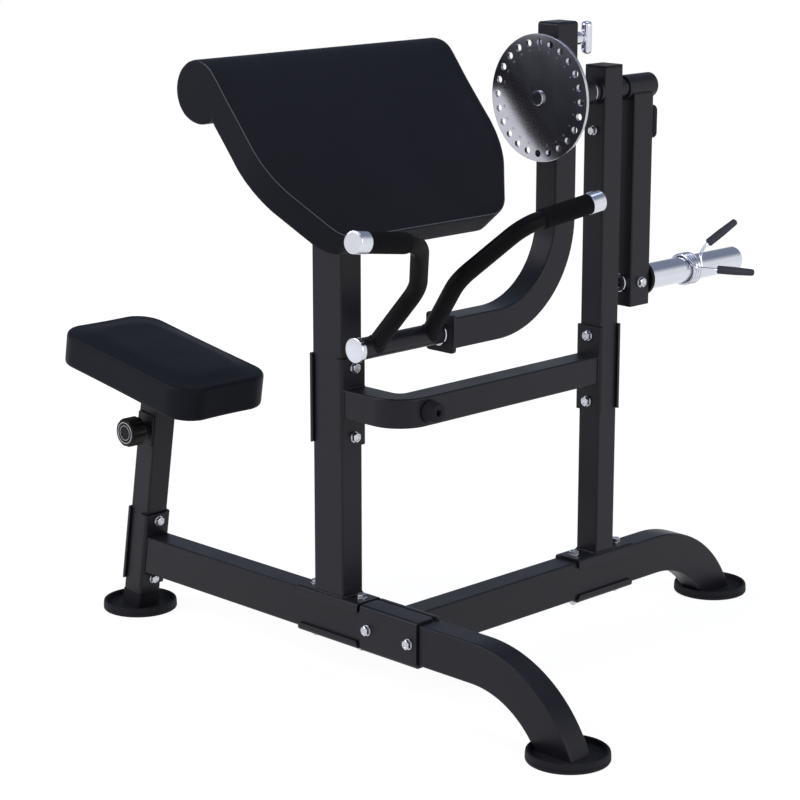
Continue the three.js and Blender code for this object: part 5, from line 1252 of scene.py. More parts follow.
@dataclass
class Fasteners:
    """The through bolts of the six joints, the stop bolt and the peg's bolt."""

    across: float = 16.0
    head: float = 6.4
    nut: float = 8.0
    washer: float = 2.0
    washer_radius: float = 10.0
    shank: float = 5.0
    tail: float = 3.0
    chamfer: float = 0.4
    short_washer: float = 2.5
    short_shank: float = 4.0
    short_depth: float = 14.0
    upright_spacing: float = 120.0
    junction_spacing: float = 104.0
    cross_spacing: float = 126.0
    post_spacing: float = 124.0
    stop_z: float = 971.0
    stop_across: float = 13.0
    stop_head: float = 7.0
    stop_washer: float = 8.5
    sets: dict[float, Piece] = field(default_factory=dict)

    def hexagon(self, low: float, high: float, across: float, domed: bool) -> Piece:
        """Cuts a hexagon whose corners are turned off at its outer end.

        Args:
            low: its inner end along its own +Z.
            high: its outer end.
            across: its size across the flats.
            domed: whether a raised ring is left round its face, as on a forged head.

        Returns:
            The hexagon.
        """
        wide = across / 2 / cos(pi / 6)
        prism = turned("hexagon", [(wide, low), (wide, high)], Matrix(), 6)
        cone = turned("cone", [
            (wide + 1, low - 1), (wide + 1, high - 1.8), (across / 2 - 0.7, high + 0.01),
        ], Matrix(), 48)
        cut_with(prism, cone, "INTERSECT")
        if domed:
            dish = across / 2 - 2.2
            hollow = turned("hollow", [(dish - 1.4, high - 0.7), (dish, high + 0.5)], Matrix(), 32)
            cut_with(prism, hollow)
        return prism

    def bolt(self, name: str, grip: float) -> Piece:
        """Copies a bolt, made once for each grip."""
        self.sets[grip] = self.sets.get(grip) or self.pattern(name, grip)
        return copy_of(self.sets[grip], name)

    def pattern(self, name: str, grip: float) -> Piece:
        """Makes the bolt, washers and nut that the others of its grip are copied from.

        Args:
            name: the piece's name.
            grip: the thickness it clamps.

        Returns:
            The bolt along its own +Z, its head's seat at the origin.
        """
        low = -GAP - self.washer
        high = grip + GAP + self.washer
        flat, edge = self.washer_radius, self.washer_radius - self.chamfer
        tip = high + self.nut + self.tail
        turn_back = Matrix.Rotation(pi, 4, "X")
        head = settle(self.hexagon(-low, -low + self.head, self.across, True), turn_back)
        parts = [
            turned("shank", [(self.shank, low), (self.shank, tip - 1), (self.shank - 1, tip)], Matrix(), 24),
            turned("washer", [(edge, low), (flat, low + self.chamfer), (flat, -GAP)], Matrix(), 40),
            turned("washer", [(flat, grip + GAP), (flat, high - self.chamfer), (edge, high)], Matrix(), 40),
            head,
            self.hexagon(high, high + self.nut, self.across, False),
        ]
        whole = joined(name, *parts)
        ease_edges(whole, 0, 30)
        return whole

    def short_bolt(self, name: str, across: float, head: float, washer: float, place: Matrix) -> None:
        """Makes a screw whose head and washer alone are seen.

        Args:
            name: the solid that it replaces.
            across: its head's size across the flats.
            head: its head's height.
            washer: its washer's radius.
            place: where it sits, its own +Z out of the face.
        """
        thick, chamfer = self.short_washer, self.chamfer
        rim = [(washer, 0), (washer, thick - chamfer), (washer - chamfer, thick)]
        parts = [
            turned("shank", [(self.short_shank, -self.short_depth), (self.short_shank, 2)], Matrix(), 20),
            turned("washer", rim, Matrix(), 40),
            self.hexagon(thick, thick + head, across, True),
        ]
        piece = settle(joined(f"{name}_made", *parts), place)
        body = Body.LOAD_ARM if name == "peg_bolt" else Body.FRAME
        mount(piece, body, ZINC, ease=0, smooth=30)

    def build(self) -> None:
        """Makes every bolt once for each grip and copies it to its places."""
        deep, wide = 2 * (GAP + PLATE) + RAIL_HEIGHT, 2 * OUTER
        post, joint = POST.to_3x3(), POST @ mm(OUTER, 0, POST_JOINT)
        upright, cross = self.upright_spacing, self.cross_spacing
        rows = (
            ("front_upright_bolt", at(0, 0, SADDLE_Z + PLATE), -Z, X, upright, deep),
            ("rear_upright_bolt", at(SIDE_X, REAR_Y, SADDLE_Z + PLATE), -Z, Y, upright, deep),
            ("junction_bolt", at(SIDE_X, -OUTER, RAIL_Z), Y, X, self.junction_spacing, wide),
            ("cross_front_bolt", at(CROSS_FACE + PLATE, 0, CROSS_Z), -X, Z, cross, deep),
            ("cross_rear_bolt", at(SIDE_X, REAR_Y - OUTER, CROSS_Z), Y, Z, cross, wide),
            ("seat_post_bolt", joint, -(post @ X), post @ Z, self.post_spacing, wide),
        )
        for name, centre, axis, along, spacing, grip in rows:
            for number, end in ((1, -1), (2, 1)):
                node = f"{name}_{number}"
                piece = self.bolt(f"{node}_made", grip)
                settle(piece, facing(centre + along * (end * spacing / 2 * MM), axis))
                mount(piece, Body.FRAME, ZINC, node, ease=None)
        for pattern in self.sets.values():
            bpy.data.objects.remove(pattern)
        stop = on_side(REAR_Y - HALF - GAP, self.stop_z, -Y)
        self.short_bolt("stop_bolt", self.stop_across, self.stop_head, self.stop_washer, stop)
        peg = facing(at(SIDE_X + HALF + GAP, LOAD_Y, PEG_Z), X)
        self.short_bolt("peg_bolt", self.across, self.head, self.washer_radius, peg)


@dataclass
class Feet:
    """The three moulded rubber dishes, the seat post's with a square boot."""

    radius: float = 72.5
    height: float = 18.0
    rim: float = 5.0
    front_x: float = 556.04
    rear_y: float = 888.04
    boot_width: float = 52.0
    boot_height: float = 38.0

    def dish(self, x: float, y: float) -> Piece:
        """Turns a dish with a grooved rim.

        Args:
            x: its middle along X.
            y: its middle along Y.

        Returns:
            The dish on the floor.
        """
        r, rim = self.radius, self.rim
        profile = [
            (r - 2.5, 0), (r - 0.8, 0.7), (r, 2.4), (r, 6.2), (r - 0.9, 6.8), (r - 0.9, 8.0), (r, 8.6),
            (r - 0.5, 14.5), (r - 1.2, 16.8), (r - 2.5, self.height), (r - rim, self.height),
            (r - rim - 1.4, self.height - 1.6), (r - rim - 2.4, FOOT_BASE + 1.2), (r - rim - 4, FOOT_BASE),
            (r - rim - 14, FOOT_BASE), (r - rim - 14.6, FOOT_BASE + 0.8), (r - rim - 16.4, FOOT_BASE + 0.8),
            (r - rim - 17, FOOT_BASE),
        ]
        return turned("dish", profile, Matrix.Translation(at(x, y, 0)), 80)

    def build(self) -> None:
        """Makes the three feet."""
        for name, x, y in (("front_foot", self.front_x, 0), ("rear_foot", SIDE_X, self.rear_y)):
            dish = self.dish(x, y)
            dish.name = f"{name}_made"
            mount(dish, Body.FRAME, RUBBER, ease=0)
        section = Section(self.boot_width, self.boot_width, TUBE_CORNER)
        ends = [POST @ mm(0, 0, -20), POST @ mm(0, 0, self.boot_height)]
        boot = bent_bar("boot", ends, [], section, Y)
        trim(boot, at(0, 0, FOOT_BASE / 2), -Z)
        foot = joined("seat_foot_made", self.dish(POST_FOOT_X, 0), boot)
        mount(foot, Body.FRAME, RUBBER, ease=1.2)


# Cushions


@dataclass
class Cushion:
    """A foam pad under vinyl, shaped by hand, blown up by cloth simulation, and flat on its board.

    It is made in its own axes, with its underside level at the height called floor.
    """

    node: str
    board: str
    body: Body
    place: Matrix
    pocket: tuple[float, float, float, float]
    floor: float
    board_height: float
    fill: float = 0.85
    voxel: float = 5.0
    shrink: float = 2.0
    cap: float = 5.0
    draw_in: float = 0.8
    pressure: float = 4.0
    frames: int = 20
    spread: int = 90
    pocket_gap: float = 0.5

    def form(self) -> Piece:
        """Shapes the plain pad; each cushion has its own."""
        raise NotImplementedError

    def crowned(self, points: np.ndarray) -> np.ndarray:
        """Raises the crown and draws the sides in; each cushion has its own."""
        return points

    def blank(self) -> Piece:
        """Remeshes the plain pad evenly, draws it back onto its form and crowns it.

        Returns:
            The blank in the pad's own axes.
        """
        form = self.form()
        piece = copy_of(form, f"{self.node}_made")
        piece.data.remesh_voxel_size = self.voxel * MM
        activate(piece)
        bpy.ops.object.voxel_remesh()
        apply_modifier(piece, "SHRINKWRAP", target=form, wrap_method="NEAREST_SURFACEPOINT")
        bpy.data.objects.remove(form)
        set_points(piece, self.crowned(rows_of(piece, "co")))
        return piece

    def swell(self, piece: Piece) -> np.ndarray:
        """Blows a slightly smaller copy of the blank up with pressure.

        Args:
            piece: the blank, in its own axes.

        Returns:
            How far each point lies off the blank afterwards, evened out and capped, in metres.
        """
        trial = copy_of(piece, "trial")
        with editing(trial, Kind.VERTEX):
            bpy.ops.transform.shrink_fatten(value=-self.shrink * MM)
        start = rows_of(trial, "co")
        cloth = trial.modifiers.new("Cloth", "CLOTH")
        cloth.settings.use_pressure = True
        cloth.settings.uniform_pressure_force = self.pressure
        cloth.settings.effector_weights.gravity = 0
        cloth.point_cache.frame_start = 1
        cloth.point_cache.frame_end = self.frames
        scene = bpy.context.scene
        for step in range(1, self.frames + 1):
            scene.frame_set(step)
        activate(trial)
        bpy.ops.object.modifier_apply(modifier=cloth.name)
        scene.frame_set(1)
        lift = ((rows_of(trial, "co") - start) * rows_of(piece, "normal")).sum(axis=1)
        bpy.data.objects.remove(trial)
        lift = evened(piece, lift, self.spread)
        log.info("%s lifts by %.1f to %.1f mm, half of it by %.1f or more", self.node, lift.min() / MM,
                 lift.max() / MM, np.median(lift) / MM)
        # Half of the cover comes back to the form that the smaller copy gave up.
        lift *= self.shrink * MM / max(np.median(lift), MM)
        return np.clip(lift - self.shrink * MM, -self.draw_in * MM, self.cap * MM)

    def build(self) -> Piece:
        """Makes the cushion and its board.

        Returns:
            The finished cushion in place.
        """
        piece = self.blank()
        points, normals = rows_of(piece, "co"), rows_of(piece, "normal")
        floor = self.floor * MM
        rests = (normals[:, 2] < -0.8) & (abs(points[:, 2] - floor) < 0.3 * MM)
        lift = self.swell(piece)
        lift[rests] = 0
        points += normals * evened(piece, lift, 6)[:, None]
        points[rests, 2] = floor
        set_points(piece, points)
        apply_modifier(piece, "SUBSURF", levels=1, render_levels=1)
        x0, x1, y0, y1 = self.pocket
        gap = 2 * self.pocket_gap
        middle = Matrix.Translation(mm((x0 + x1) / 2, (y0 + y1) / 2, self.floor - TUBE))
        height = TUBE + self.board_height + GAP
        cut_with(piece, flat_plate("pocket", x1 - x0 + gap, y1 - y0 + gap, height, 30, middle))
        settle(piece, self.place)
        activate(piece)
        bpy.ops.object.shade_smooth_by_angle(angle=radians(50))
        mount(piece, self.body, VINYL, ease=None)
        board = merged_copy(self.board)
        mount(board, self.body, WOOD, ease=1.0)
        return piece


def rows_of(piece: Piece, field_name: str) -> np.ndarray:
    """Reads a vector at each of a mesh's points.

    Args:
        piece: the mesh object.
        field_name: co for the places or normal for the normals.

    Returns:
        The vectors, one row each, in metres.
    """
    rows = np.zeros(len(piece.data.vertices) * 3, np.float32)
    piece.data.vertices.foreach_get(field_name, rows)
    return rows.reshape(-1, 3).astype(np.float64)


def evened(piece: Piece, values: np.ndarray, rounds: int) -> np.ndarray:
    """Averages a value at each point with its neighbours, several times over.

    Args:
        piece: the mesh object.
        values: one value for each of its points.
        rounds: how many times.

    Returns:
        The evened values.
    """
    edges = np.zeros(len(piece.data.edges) * 2, np.int32)
    piece.data.edges.foreach_get("vertices", edges)
    one, other = edges.reshape(-1, 2).T
    ends, across = np.concatenate((one, other)), np.concatenate((other, one))
    count = np.bincount(ends)
    for _ in range(rounds):
        values = (values + np.bincount(ends, values[across]) / count) / 2
    return values


def eased(share: np.ndarray) -> np.ndarray:
    """Eases shares from 0 to 1 in and out."""
    share = np.clip(share, 0, 1)
    return share * share * (3 - 2 * share)


def set_points(piece: Piece, points: np.ndarray) -> None:
    """Writes a mesh's points, one row each, in metres."""
    piece.data.vertices.foreach_set("co", points.ravel())
    piece.data.update()


@dataclass
class SeatCushion(Cushion):
    """The seat's cushion: a long rounded block with a soft top edge."""

    length: float = 390.0
    width: float = 226.0
    thickness: float = 67.2
    crown: float = 2.2
    side_draw: float = 1.5
    corner: float = 54.0
    top_edge: float = 9.0
    bottom_edge: float = 5.0

    def form(self) -> Piece:
        """Extrudes the seat's outline and rounds its edges.

        Returns:
            The plain cushion.
        """
        rim = self.thickness - self.crown
        piece = flat_plate("form", self.length, self.width, rim, self.corner, Matrix())
        round_rim(piece, rim, self.top_edge, 10)
        round_rim(piece, 0, self.bottom_edge, 5)
        return piece

    def crowned(self, points: np.ndarray) -> np.ndarray:
        """Raises the top and draws the sides in between the corners.

        Args:
            points: the plain cushion's points.

        Returns:
            The moved points.
        """
        half = np.array([self.length, self.width]) / 2 * MM
        rim = (self.thickness - self.crown) * MM
        share = np.minimum(abs(points[:, :2]) / (half - self.top_edge * MM), 1)
        rise = (1 - share[:, 0] ** 2) * (1 - share[:, 1] ** 2)
        points[:, 2] += self.crown * MM * rise * np.clip(points[:, 2] / rim, 0, 1) ** 4
        flat = half - self.corner * MM
        pull = np.cos(np.pi / 2 * np.minimum(abs(points[:, :2]) / flat, 1)) * self.side_draw * MM
        points[:, :2] *= 1 - pull[:, ::-1] / half
        return points


@dataclass
class ArmPad(Cushion):
    """The sloped arm pad: a slab that ends in a roll, with a welted seam round the edge of its front."""

    half_width: float = 284.0
    taper_start: float = 203.2
    taper: float = 33.46
    taper_radius: float = 175.5
    slab_length: float = 340.8
    end_corner: float = 55.0
    edge: float = 5.0
    crown: float = 3.0
    side_draw: float = 1.2
    front_drop: float = 1.8
    rim_drop: float = 6.0
    flat: tuple[float, float] = (322.0, 172.0)
    voxel: float = 4.0
    spread: int = 140
    seam_end: int = 150
    welt_radius: float = 0.9
    welt_rise: float = 0.1

    def form(self) -> Piece:
        """Extrudes the slab from its outline, rounds its edges and joins the roll on.

        Returns:
            The plain pad, its origin on the roll's axis.
        """
        floor = self.floor
        taper = radians(self.taper)
        end_half = self.half_width - (self.slab_length - self.taper_start) * tan(taper)
        slab = primitive("slab", bpy.ops.mesh.primitive_plane_add, size=1)
        size = Matrix.Diagonal((self.taper_start * MM, 2 * self.half_width * MM, 1, 1))
        settle(slab, Matrix.Translation(mm(self.taper_start / 2, 0, floor)) @ size)
        with editing(slab):
            pick(Kind.EDGE, lambda centre, way: centre.x > self.taper_start * MM - NEAR)
            extrude(mm(self.slab_length - self.taper_start, 0, 0))
            narrower = (1, end_half / self.half_width, 1)
            bpy.ops.transform.resize(value=narrower, center_override=mm(0, 0, floor))
            bpy.ops.mesh.select_all(action="SELECT")
            bpy.ops.mesh.dissolve_limited(angle_limit=radians(1))
            for corner_x, radius, turn in (
                (self.taper_start, self.taper_radius, taper),
                (self.slab_length, self.end_corner, pi / 2 - taper),
            ):
                pick(Kind.VERTEX, lambda point, normal, x=corner_x * MM: abs(point.x - x) < NEAR)
                offset = radius * tan(turn / 2) * MM
                bpy.ops.mesh.bevel(offset=offset, segments=12, affect="VERTICES")
            bpy.ops.mesh.select_mode(type="FACE")
            bpy.ops.mesh.select_all(action="SELECT")
            extrude(mm(0, 0, SLAB_THICKNESS))
            close_up()
        round_rim(slab, ROLL_RADIUS, self.edge, 8)
        round_rim(slab, floor, self.edge, 8)
        arc = [radians(angle) for angle in range(0, 91, 10)]
        flank = self.half_width - self.edge
        rounding = [
            (ROLL_RADIUS - self.edge * (1 - cos(angle)), flank + self.edge * sin(angle))
            for angle in arc
        ]
        profile = [(radius, -y) for radius, y in reversed(rounding)] + rounding
        roll = turned("roll", profile, facing(Vector(), Y), 120)
        return joined("form", slab, roll)

    def crowned(self, points: np.ndarray) -> np.ndarray:
        """Raises the front, draws the sides in and lets the rim swell behind the board.

        Args:
            points: the plain pad's points.

        Returns:
            The moved points.
        """
        x, y, z = points.T / MM
        rows = np.array(self.outline()[:-1])
        half = np.interp(x, rows[:, 0], rows[:, 1])
        along = np.clip(x / (self.slab_length - self.edge), 0, 1)
        across = np.minimum(abs(y) / (half - self.edge), 1)
        front = np.clip(z / ROLL_RADIUS, 0, 1) ** 4
        rise = self.crown * np.sin(np.pi * along) * (1 - across**2) * front
        rise -= self.front_drop * eased(x / 70) * front
        end, side = self.flat
        rim = np.maximum(
            eased((abs(y) - side) / np.maximum(half - side, 12)), eased((x - end) / (self.slab_length - end))
        )
        rise -= self.rim_drop * rim * eased((x - 30) / 40) * np.clip((25 - z) / 20, 0, 1)
        straight = np.clip(x / self.taper_start, 0, 1)
        points[:, 1] *= 1 - self.side_draw / self.half_width * np.sin(np.pi * straight)
        points[:, 2] += rise * MM
        return points

    def outline(self) -> list[tuple[float, float, float, float]]:
        """Follows half of the slab's plan from the roll to the middle of its lower edge.

        Returns:
            Rows of x, y and the way out, on the +Y side, in millimetres.
        """
        taper = radians(self.taper)
        start = self.taper_start - self.taper_radius * tan(taper / 2)
        end_half = self.half_width - (self.slab_length - self.taper_start) * tan(taper)
        corner = Vector((
            self.slab_length - self.end_corner, end_half - self.end_corner * tan(pi / 4 - taper / 2)
        ))
        rows = [(start * i / 16, self.half_width, 0.0, 1.0) for i in range(16)]
        for centre, radius, first, last in (
            (Vector((start, self.half_width - self.taper_radius)), self.taper_radius, 0.0, taper),
            (corner, self.end_corner, taper, pi / 2),
        ):
            for i in range(13):
                angle = first + (last - first) * i / 12
                s, c = sin(angle), cos(angle)
                rows.append((centre.x + radius * s, centre.y + radius * c, s, c))
        return rows + [(self.slab_length, 0.0, 1.0, 0.0)]

    def seam(self) -> list[Vector]:
        """Draws the seam round the front panel, from over the roll on one side to over it on the other.

        Returns:
            Its points in the pad's own axes.
        """
        rows = []
        for degrees in range(self.seam_end, 90, -6):
            c, s = cos(radians(degrees)), sin(radians(degrees))
            rows.append((ROLL_RADIUS * c, self.half_width, ROLL_RADIUS * s, c, 1.0, s))
        rows += [(x, y, ROLL_RADIUS, nx, ny, 1.0) for x, y, nx, ny in self.outline()]
        drawn = self.edge * (1 - sqrt(0.5))
        far = [mm(x - nx * drawn, y - ny * drawn, z - nz * drawn) for x, y, z, nx, ny, nz in rows]
        near = [Vector((point.x, -point.y, point.z)) for point in far]
        return near + far[-2::-1]

    def build(self) -> Piece:
        """Makes the cushion and presses the welt along its seam.

        Returns:
            The finished cushion in place.
        """
        piece = super().build()
        line = []
        for point in spaced([PAD @ p for p in self.seam()], 3, False):
            found, nearest, normal, _ = piece.closest_point_on_mesh(point)
            line.append(nearest + normal * self.welt_rise * MM if found else point)
        for _ in range(3):
            line[1:-1] = [(a + 2 * b + c) / 4 for a, b, c in zip(line, line[1:], line[2:])]
        last = len(line) - 1

        def fade(index: int) -> float:
            """Sinks the welt away over its ends."""
            return min(1, 0.15 + 30 * min(index, last - index) / last)

        # The welt is coloured pale: a painted highlight along the pad's front edge.
        welt = wire("arm_pad_welt", line, self.welt_radius, swell=fade)
        mount(welt, Body.FRAME, SEAM_PAINTED_HIGHLIGHT, ease=0, smooth=60)
        return piece


@dataclass
class Seat:
    """The seat post, its telescoping inner post, the pull pin with its knob, and the seat cushion."""

    top: float = 462.0
    boot_top: float = 38.3
    knob_along: float = 387.0
    knob_radius: float = 28.0
    knob_base: float = 45.0
    knob_length: float = 33.0
    flutes: int = 8
    flute_depth: float = 2.6
    pin_plate: Triple = (44.0, 63.0, 4.0)
    seat_forward: float = 5.0
    underside: float = 479.8

    def build(self) -> None:
        """Makes the post, the pull pin and the cushion."""
        self.posts()
        self.knob()
        place = POST @ Matrix.Translation(mm(self.seat_forward, 0, self.underside))
        SeatCushion(
            "seat_cushion", "seat_board", Body.SEAT, place, (-181.4, 181.4, -99.4, 99.4), 0, 12
        ).build()

    def posts(self) -> None:
        """Makes the outer post, hollow at its top, and the inner post with its plate and holes."""
        ends = [POST @ mm(0, 0, self.boot_top), POST @ mm(0, 0, self.top)]
        post = bent_bar("seat_post_made", ends, [], Section(TUBE, TUBE, TUBE_CORNER), Y)
        up = POST.to_3x3() @ Z
        with editing(post):
            pick(Kind.FACE, lambda centre, normal: normal.dot(up) > ALIGNED)
            bpy.ops.mesh.inset(thickness=TUBE_WALL * MM)
            extrude(-up * 40 * MM)
        mount(post, Body.FRAME, PAINT, ease=0.6)
        inner = merged_copy("seat_inner_post")
        mount(inner, Body.SEAT, STEEL, ease=0.5)

    def knob(self) -> None:
        """Makes the pin's housing, the pin and the fluted knob with its printed rings."""
        out = -(POST.to_3x3() @ Y)
        centre = POST @ mm(0, 0, self.knob_along)

        def on(y: float) -> Matrix:
            """Places a turned piece's start at a distance out from the post's middle."""
            return facing(centre + out * y * MM, out)

        width, length, thickness = self.pin_plate
        up = POST.to_3x3() @ Z
        plate_place = axes(centre + out * (HALF + GAP) * MM, up.cross(out), up)
        plate = flat_plate("plate", width, length, thickness, TUBE_CORNER, plate_place)
        collar = turned("collar", [(13, 3), (13, 16), (12.2, 17)], on(HALF), 40)
        weld = weld_bead(ring_points(centre + out * (HALF + GAP + thickness) * MM, out, 13), 1.8)
        housing = joined("seat_pin_housing_made", plate, collar, weld)
        mount(housing, Body.FRAME, PAINT)
        pin = turned("seat_pin_made", [(4.2, 22), (5, 23), (5, 73)], on(0), 24)
        mount(pin, Body.SEAT_PIN, CHROME, ease=0)
        self.grip(on(self.knob_base))
        face = on(self.knob_base + self.knob_length).translation
        for name, radius, thick in (("knob_ring_outer", 20.2, 0.75), ("knob_ring_inner", 14.0, 0.45)):
            ring = wire(name, ring_points(face, out, radius), thick, closed=True)
            mount(ring, Body.SEAT_PIN, INK, ease=0, smooth=60)

    def grip(self, place: Matrix) -> None:
        """Turns the knob and presses its flutes in.

        Args:
            place: where it sits, its own +Z out of the post.
        """
        r, end = self.knob_radius, self.knob_length
        profile = [
            (15, 12), (15, 0.8), (16, 0), (r - 3, 0), (r - 1, 0.8), (r, 3), (r, end - 5), (r - 0.9, end - 2),
            (r - 2.6, end - 0.4), (r - 4.2, end), (r - 16, end), (r - 22, end),
        ]
        knob = turned("seat_knob_made", profile, Matrix(), self.flutes * 12)
        with editing(knob, Kind.VERTEX):
            for dip, steps in ((0.25, (2, 10)), (0.75, (1, 11)), (1.0, (0,))):
                pick(Kind.VERTEX, lambda point, normal, steps=steps: point.xy.length > (r - 1.5) * MM
                     and self.flute_step(point) in steps)
                share = 1 - self.flute_depth * dip / r
                bpy.ops.transform.resize(value=(share, share, 1), center_override=Vector())
        settle(knob, place)
        mount(knob, Body.SEAT_PIN, PLASTIC, ease=0, smooth=50)

    def flute_step(self, point: Vector) -> int:
        """Gives a point's place round its flute, in twelfths of the way to the next one."""
        return round(atan2(point.y, point.x) / (2 * pi) * self.flutes * 12) % 12


# Lever side


@dataclass
class IndexDisc:
    """The index disc with its holes, numbers and boss, and the shaft that carries it."""

    y: float = 348.7
    thickness: float = 6.0
    radius: float = 114.0
    circle: float = 99.0
    hole: float = 6.4
    count: int = 24
    boss_radius: float = 22.5
    boss: float = 9.3
    shaft_radius: float = 13.5
    shaft_start: float = 344.0
    shaft_end: float = 653.0
    number_circle: float = 85.0
    number_size: float = 6.0
    ink: float = 0.06

    def build(self) -> None:
        """Makes the disc, its numbers and the shaft."""
        place = on_side(self.y, PIVOT_Z)
        thick, r = self.thickness, self.radius
        disc = turned("index_disc_made", [
            (r - 0.8, 0), (r, 0.8), (r, thick - 0.8), (r - 0.8, thick), (self.boss_radius, thick),
            (self.boss_radius, thick + self.boss - 1), (self.boss_radius - 1, thick + self.boss),
        ], place, 144)
        profile = [(self.hole, -5), (self.hole, thick + 5)]
        drills = []
        for i in range(self.count):
            angle = 2 * pi * i / self.count
            centre = at(SIDE_X + self.circle * sin(angle), self.y, PIVOT_Z + self.circle * cos(angle))
            if not drills:
                drills.append(turned("drill", profile, facing(centre, Y), 28))
                first = centre
            else:
                drill = copy_of(drills[0], "drill")
                drills.append(settle(drill, Matrix.Translation(centre - first)))
        bore = self.shaft_radius + GAP
        drills.append(turned("bore", [(bore, -5), (bore, 25)], place, 48))
        cut_with(disc, joined("drills", *drills))
        mount(disc, Body.LOAD_ARM, DISC_FACE, ease=0.5)
        self.numbers()
        profile = rod(self.shaft_radius, self.shaft_end - self.shaft_start, 1.5)
        shaft = turned("main_shaft_made", profile, on_side(self.shaft_start, PIVOT_Z), 64)
        mount(shaft, Body.LOAD_ARM, STEEL, ease=0)

    def numbers(self) -> None:
        """Prints a number inside each hole, its top towards the rim."""
        made = []
        for i in range(self.count):
            angle = 2 * pi * i / self.count
            out = X * sin(angle) + Z * cos(angle)
            right = X * cos(angle) - Z * sin(angle)
            text = primitive("number", bpy.ops.object.text_add).data
            text.body = str(i + 1)
            text.align_x = text.align_y = "CENTER"
            text.size = self.number_size * MM
            text.extrude = self.ink * MM
            bpy.ops.object.convert(target="MESH")
            centre = at(SIDE_X, self.y - self.ink, PIVOT_Z) + out * self.number_circle * MM
            made.append(settle(bpy.context.object, axes(centre, right, out)))
        numbers = joined("disc_numbers", *made)
        with editing(numbers):
            close_up()
        mount(numbers, Body.LOAD_ARM, GREY_INK, ease=None)


@dataclass
class Lever:
    """The J-shaped lever with its hub and end plate, its pull pin, and the handle bar's axle."""

    depth: float = 55.0
    y: float = 398.0
    bend_radius: float = 172.5
    end_y: float = 105.0
    hub_radius: float = 23.0
    hub_start: float = 364.3
    hub_end: float = 482.8
    plate_width: float = 68.0
    plate_thickness: float = 6.0
    head: float = 34.4
    pin_up: float = 99.0
    barrel_end: float = 455.0
    bar_y: float = 476.0
    bar_half: float = 29.5
    slot: tuple[float, ...] = (7.0, 13.0, 10.0, 3.4)
    slot_up: float = 17.0
    pin_start: float = 355.2
    stem_gap: float = 7.0
    sleeve_end: float = -98.0

    def build(self) -> None:
        """Makes the lever, its pull pin and the axle."""
        self.lever()
        self.pull_pin()
        self.axle()

    def lever(self) -> None:
        """Makes the bent tube, capped at its top, with hub, end plate and welds."""
        top = PIVOT_Z + self.pin_up + self.head
        corners = [
            at(SIDE_X, self.y, top),
            at(SIDE_X, self.y, ARM_Z),
            at(SIDE_X, self.end_y - self.plate_thickness / 2, ARM_Z),
        ]
        tube = bent_bar("tube", corners, [self.bend_radius], Section(self.depth, TUBE, TUBE_CORNER), X)
        with editing(tube):
            pick(Kind.FACE, lambda c, n: n.z > 0.9 and c.z > (top - 1) * MM)
            bpy.ops.mesh.bevel(offset=6 * MM, segments=5, affect="EDGES")
        profile = rod(self.hub_radius, self.hub_end - self.hub_start)
        hub = turned("hub", profile, on_side(self.hub_start, PIVOT_Z))
        plate = flat_plate(
            "plate", self.plate_width, self.plate_width, self.plate_thickness, PLATE_CORNER,
            axes(at(SIDE_X, self.end_y - self.plate_thickness, ARM_Z), Z, X),
        )
        sides = [at(SIDE_X, self.y + way * self.depth / 2, PIVOT_Z) for way in (-1, 1)]
        parts = [
            tube, hub, plate,
            *(weld_bead(ring_points(side, Y, self.hub_radius)) for side in sides),
            box_weld(axes(at(SIDE_X, self.end_y, ARM_Z), Z, X), self.depth, TUBE),
        ]
        mount(joined("lever_made", *parts), Body.LEVER, PAINT)

    def pull_pin(self) -> None:
        """Makes the pin's barrel, the pin and its slotted T-handle."""
        height = PIVOT_Z + self.pin_up
        back = self.y + self.depth / 2 + GAP
        length = self.barrel_end - back
        barrel = turned("pop_pin_barrel_made", [
            (11, 0), (12, 1), (12, 6), (11.2, 6.6), (11.2, 8), (12, 8.6), (12, length - 1.2),
            (11, length), (6, length), (5.4, length - 1),
        ], on_side(back, height))
        mount(barrel, Body.LEVER, CHROME, ease=0)
        half = self.bar_half
        side = [(10, half - 8), (9.7, half - 5.5), (8.6, half - 2.8), (6.4, half - 0.9), (3, half)]
        profile = [(radius, -along) for radius, along in reversed(side)] + side
        bar = turned("bar", profile, Matrix.Translation(at(SIDE_X, self.bar_y, height)))
        for end in (-1, 1):
            slot_at = at(SIDE_X, self.bar_y - 12, height + end * self.slot_up)
            cut_with(bar, flat_plate("slot", *self.slot, axes(slot_at, -X, Z)))
        start, stem_start = self.pin_start, self.barrel_end + self.stem_gap
        pin = turned("pin", [(4.2, 0), (5, 1), (5, self.bar_y - start)], on_side(start, height), 28)
        profile = [(7.4, 0), (8, 0.6), (8, self.bar_y - stem_start)]
        stem = turned("stem", profile, on_side(stem_start, height), 36)
        mount(joined("pop_pin_made", bar, pin, stem), Body.POP_PIN, CHROME, ease=0.4)

    def axle(self) -> None:
        """Makes the chrome axle with its shoulder ring, and the cap on its end."""
        start = self.end_y + 12
        ring = start - (self.end_y - self.plate_thickness - GAP)
        profile = [
            (11.5, 0), (12.5, 1), (12.5, ring), (21, ring), (22, ring + 1), (22, ring + 5.4),
            (21, ring + 6.4), (12.5, ring + 6.4), (12.5, start - self.sleeve_end),
        ]
        axle = turned("handle_axle_made", profile, on_side(start, ARM_Z, -Y), 56)
        mount(axle, Body.LEVER, CHROME, ease=0)
        cap = turned("axle_cap_made", [
            (6, -22), (6, 0.3), (21, 0.3), (22, 1.2), (22, 8.4), (21.4, 10.2), (20, 11), (12, 11.4),
            (4, 11.5),
        ], on_side(self.sleeve_end, ARM_Z, -Y), 56)
        mount(cap, Body.LEVER, CHROME, ease=0)


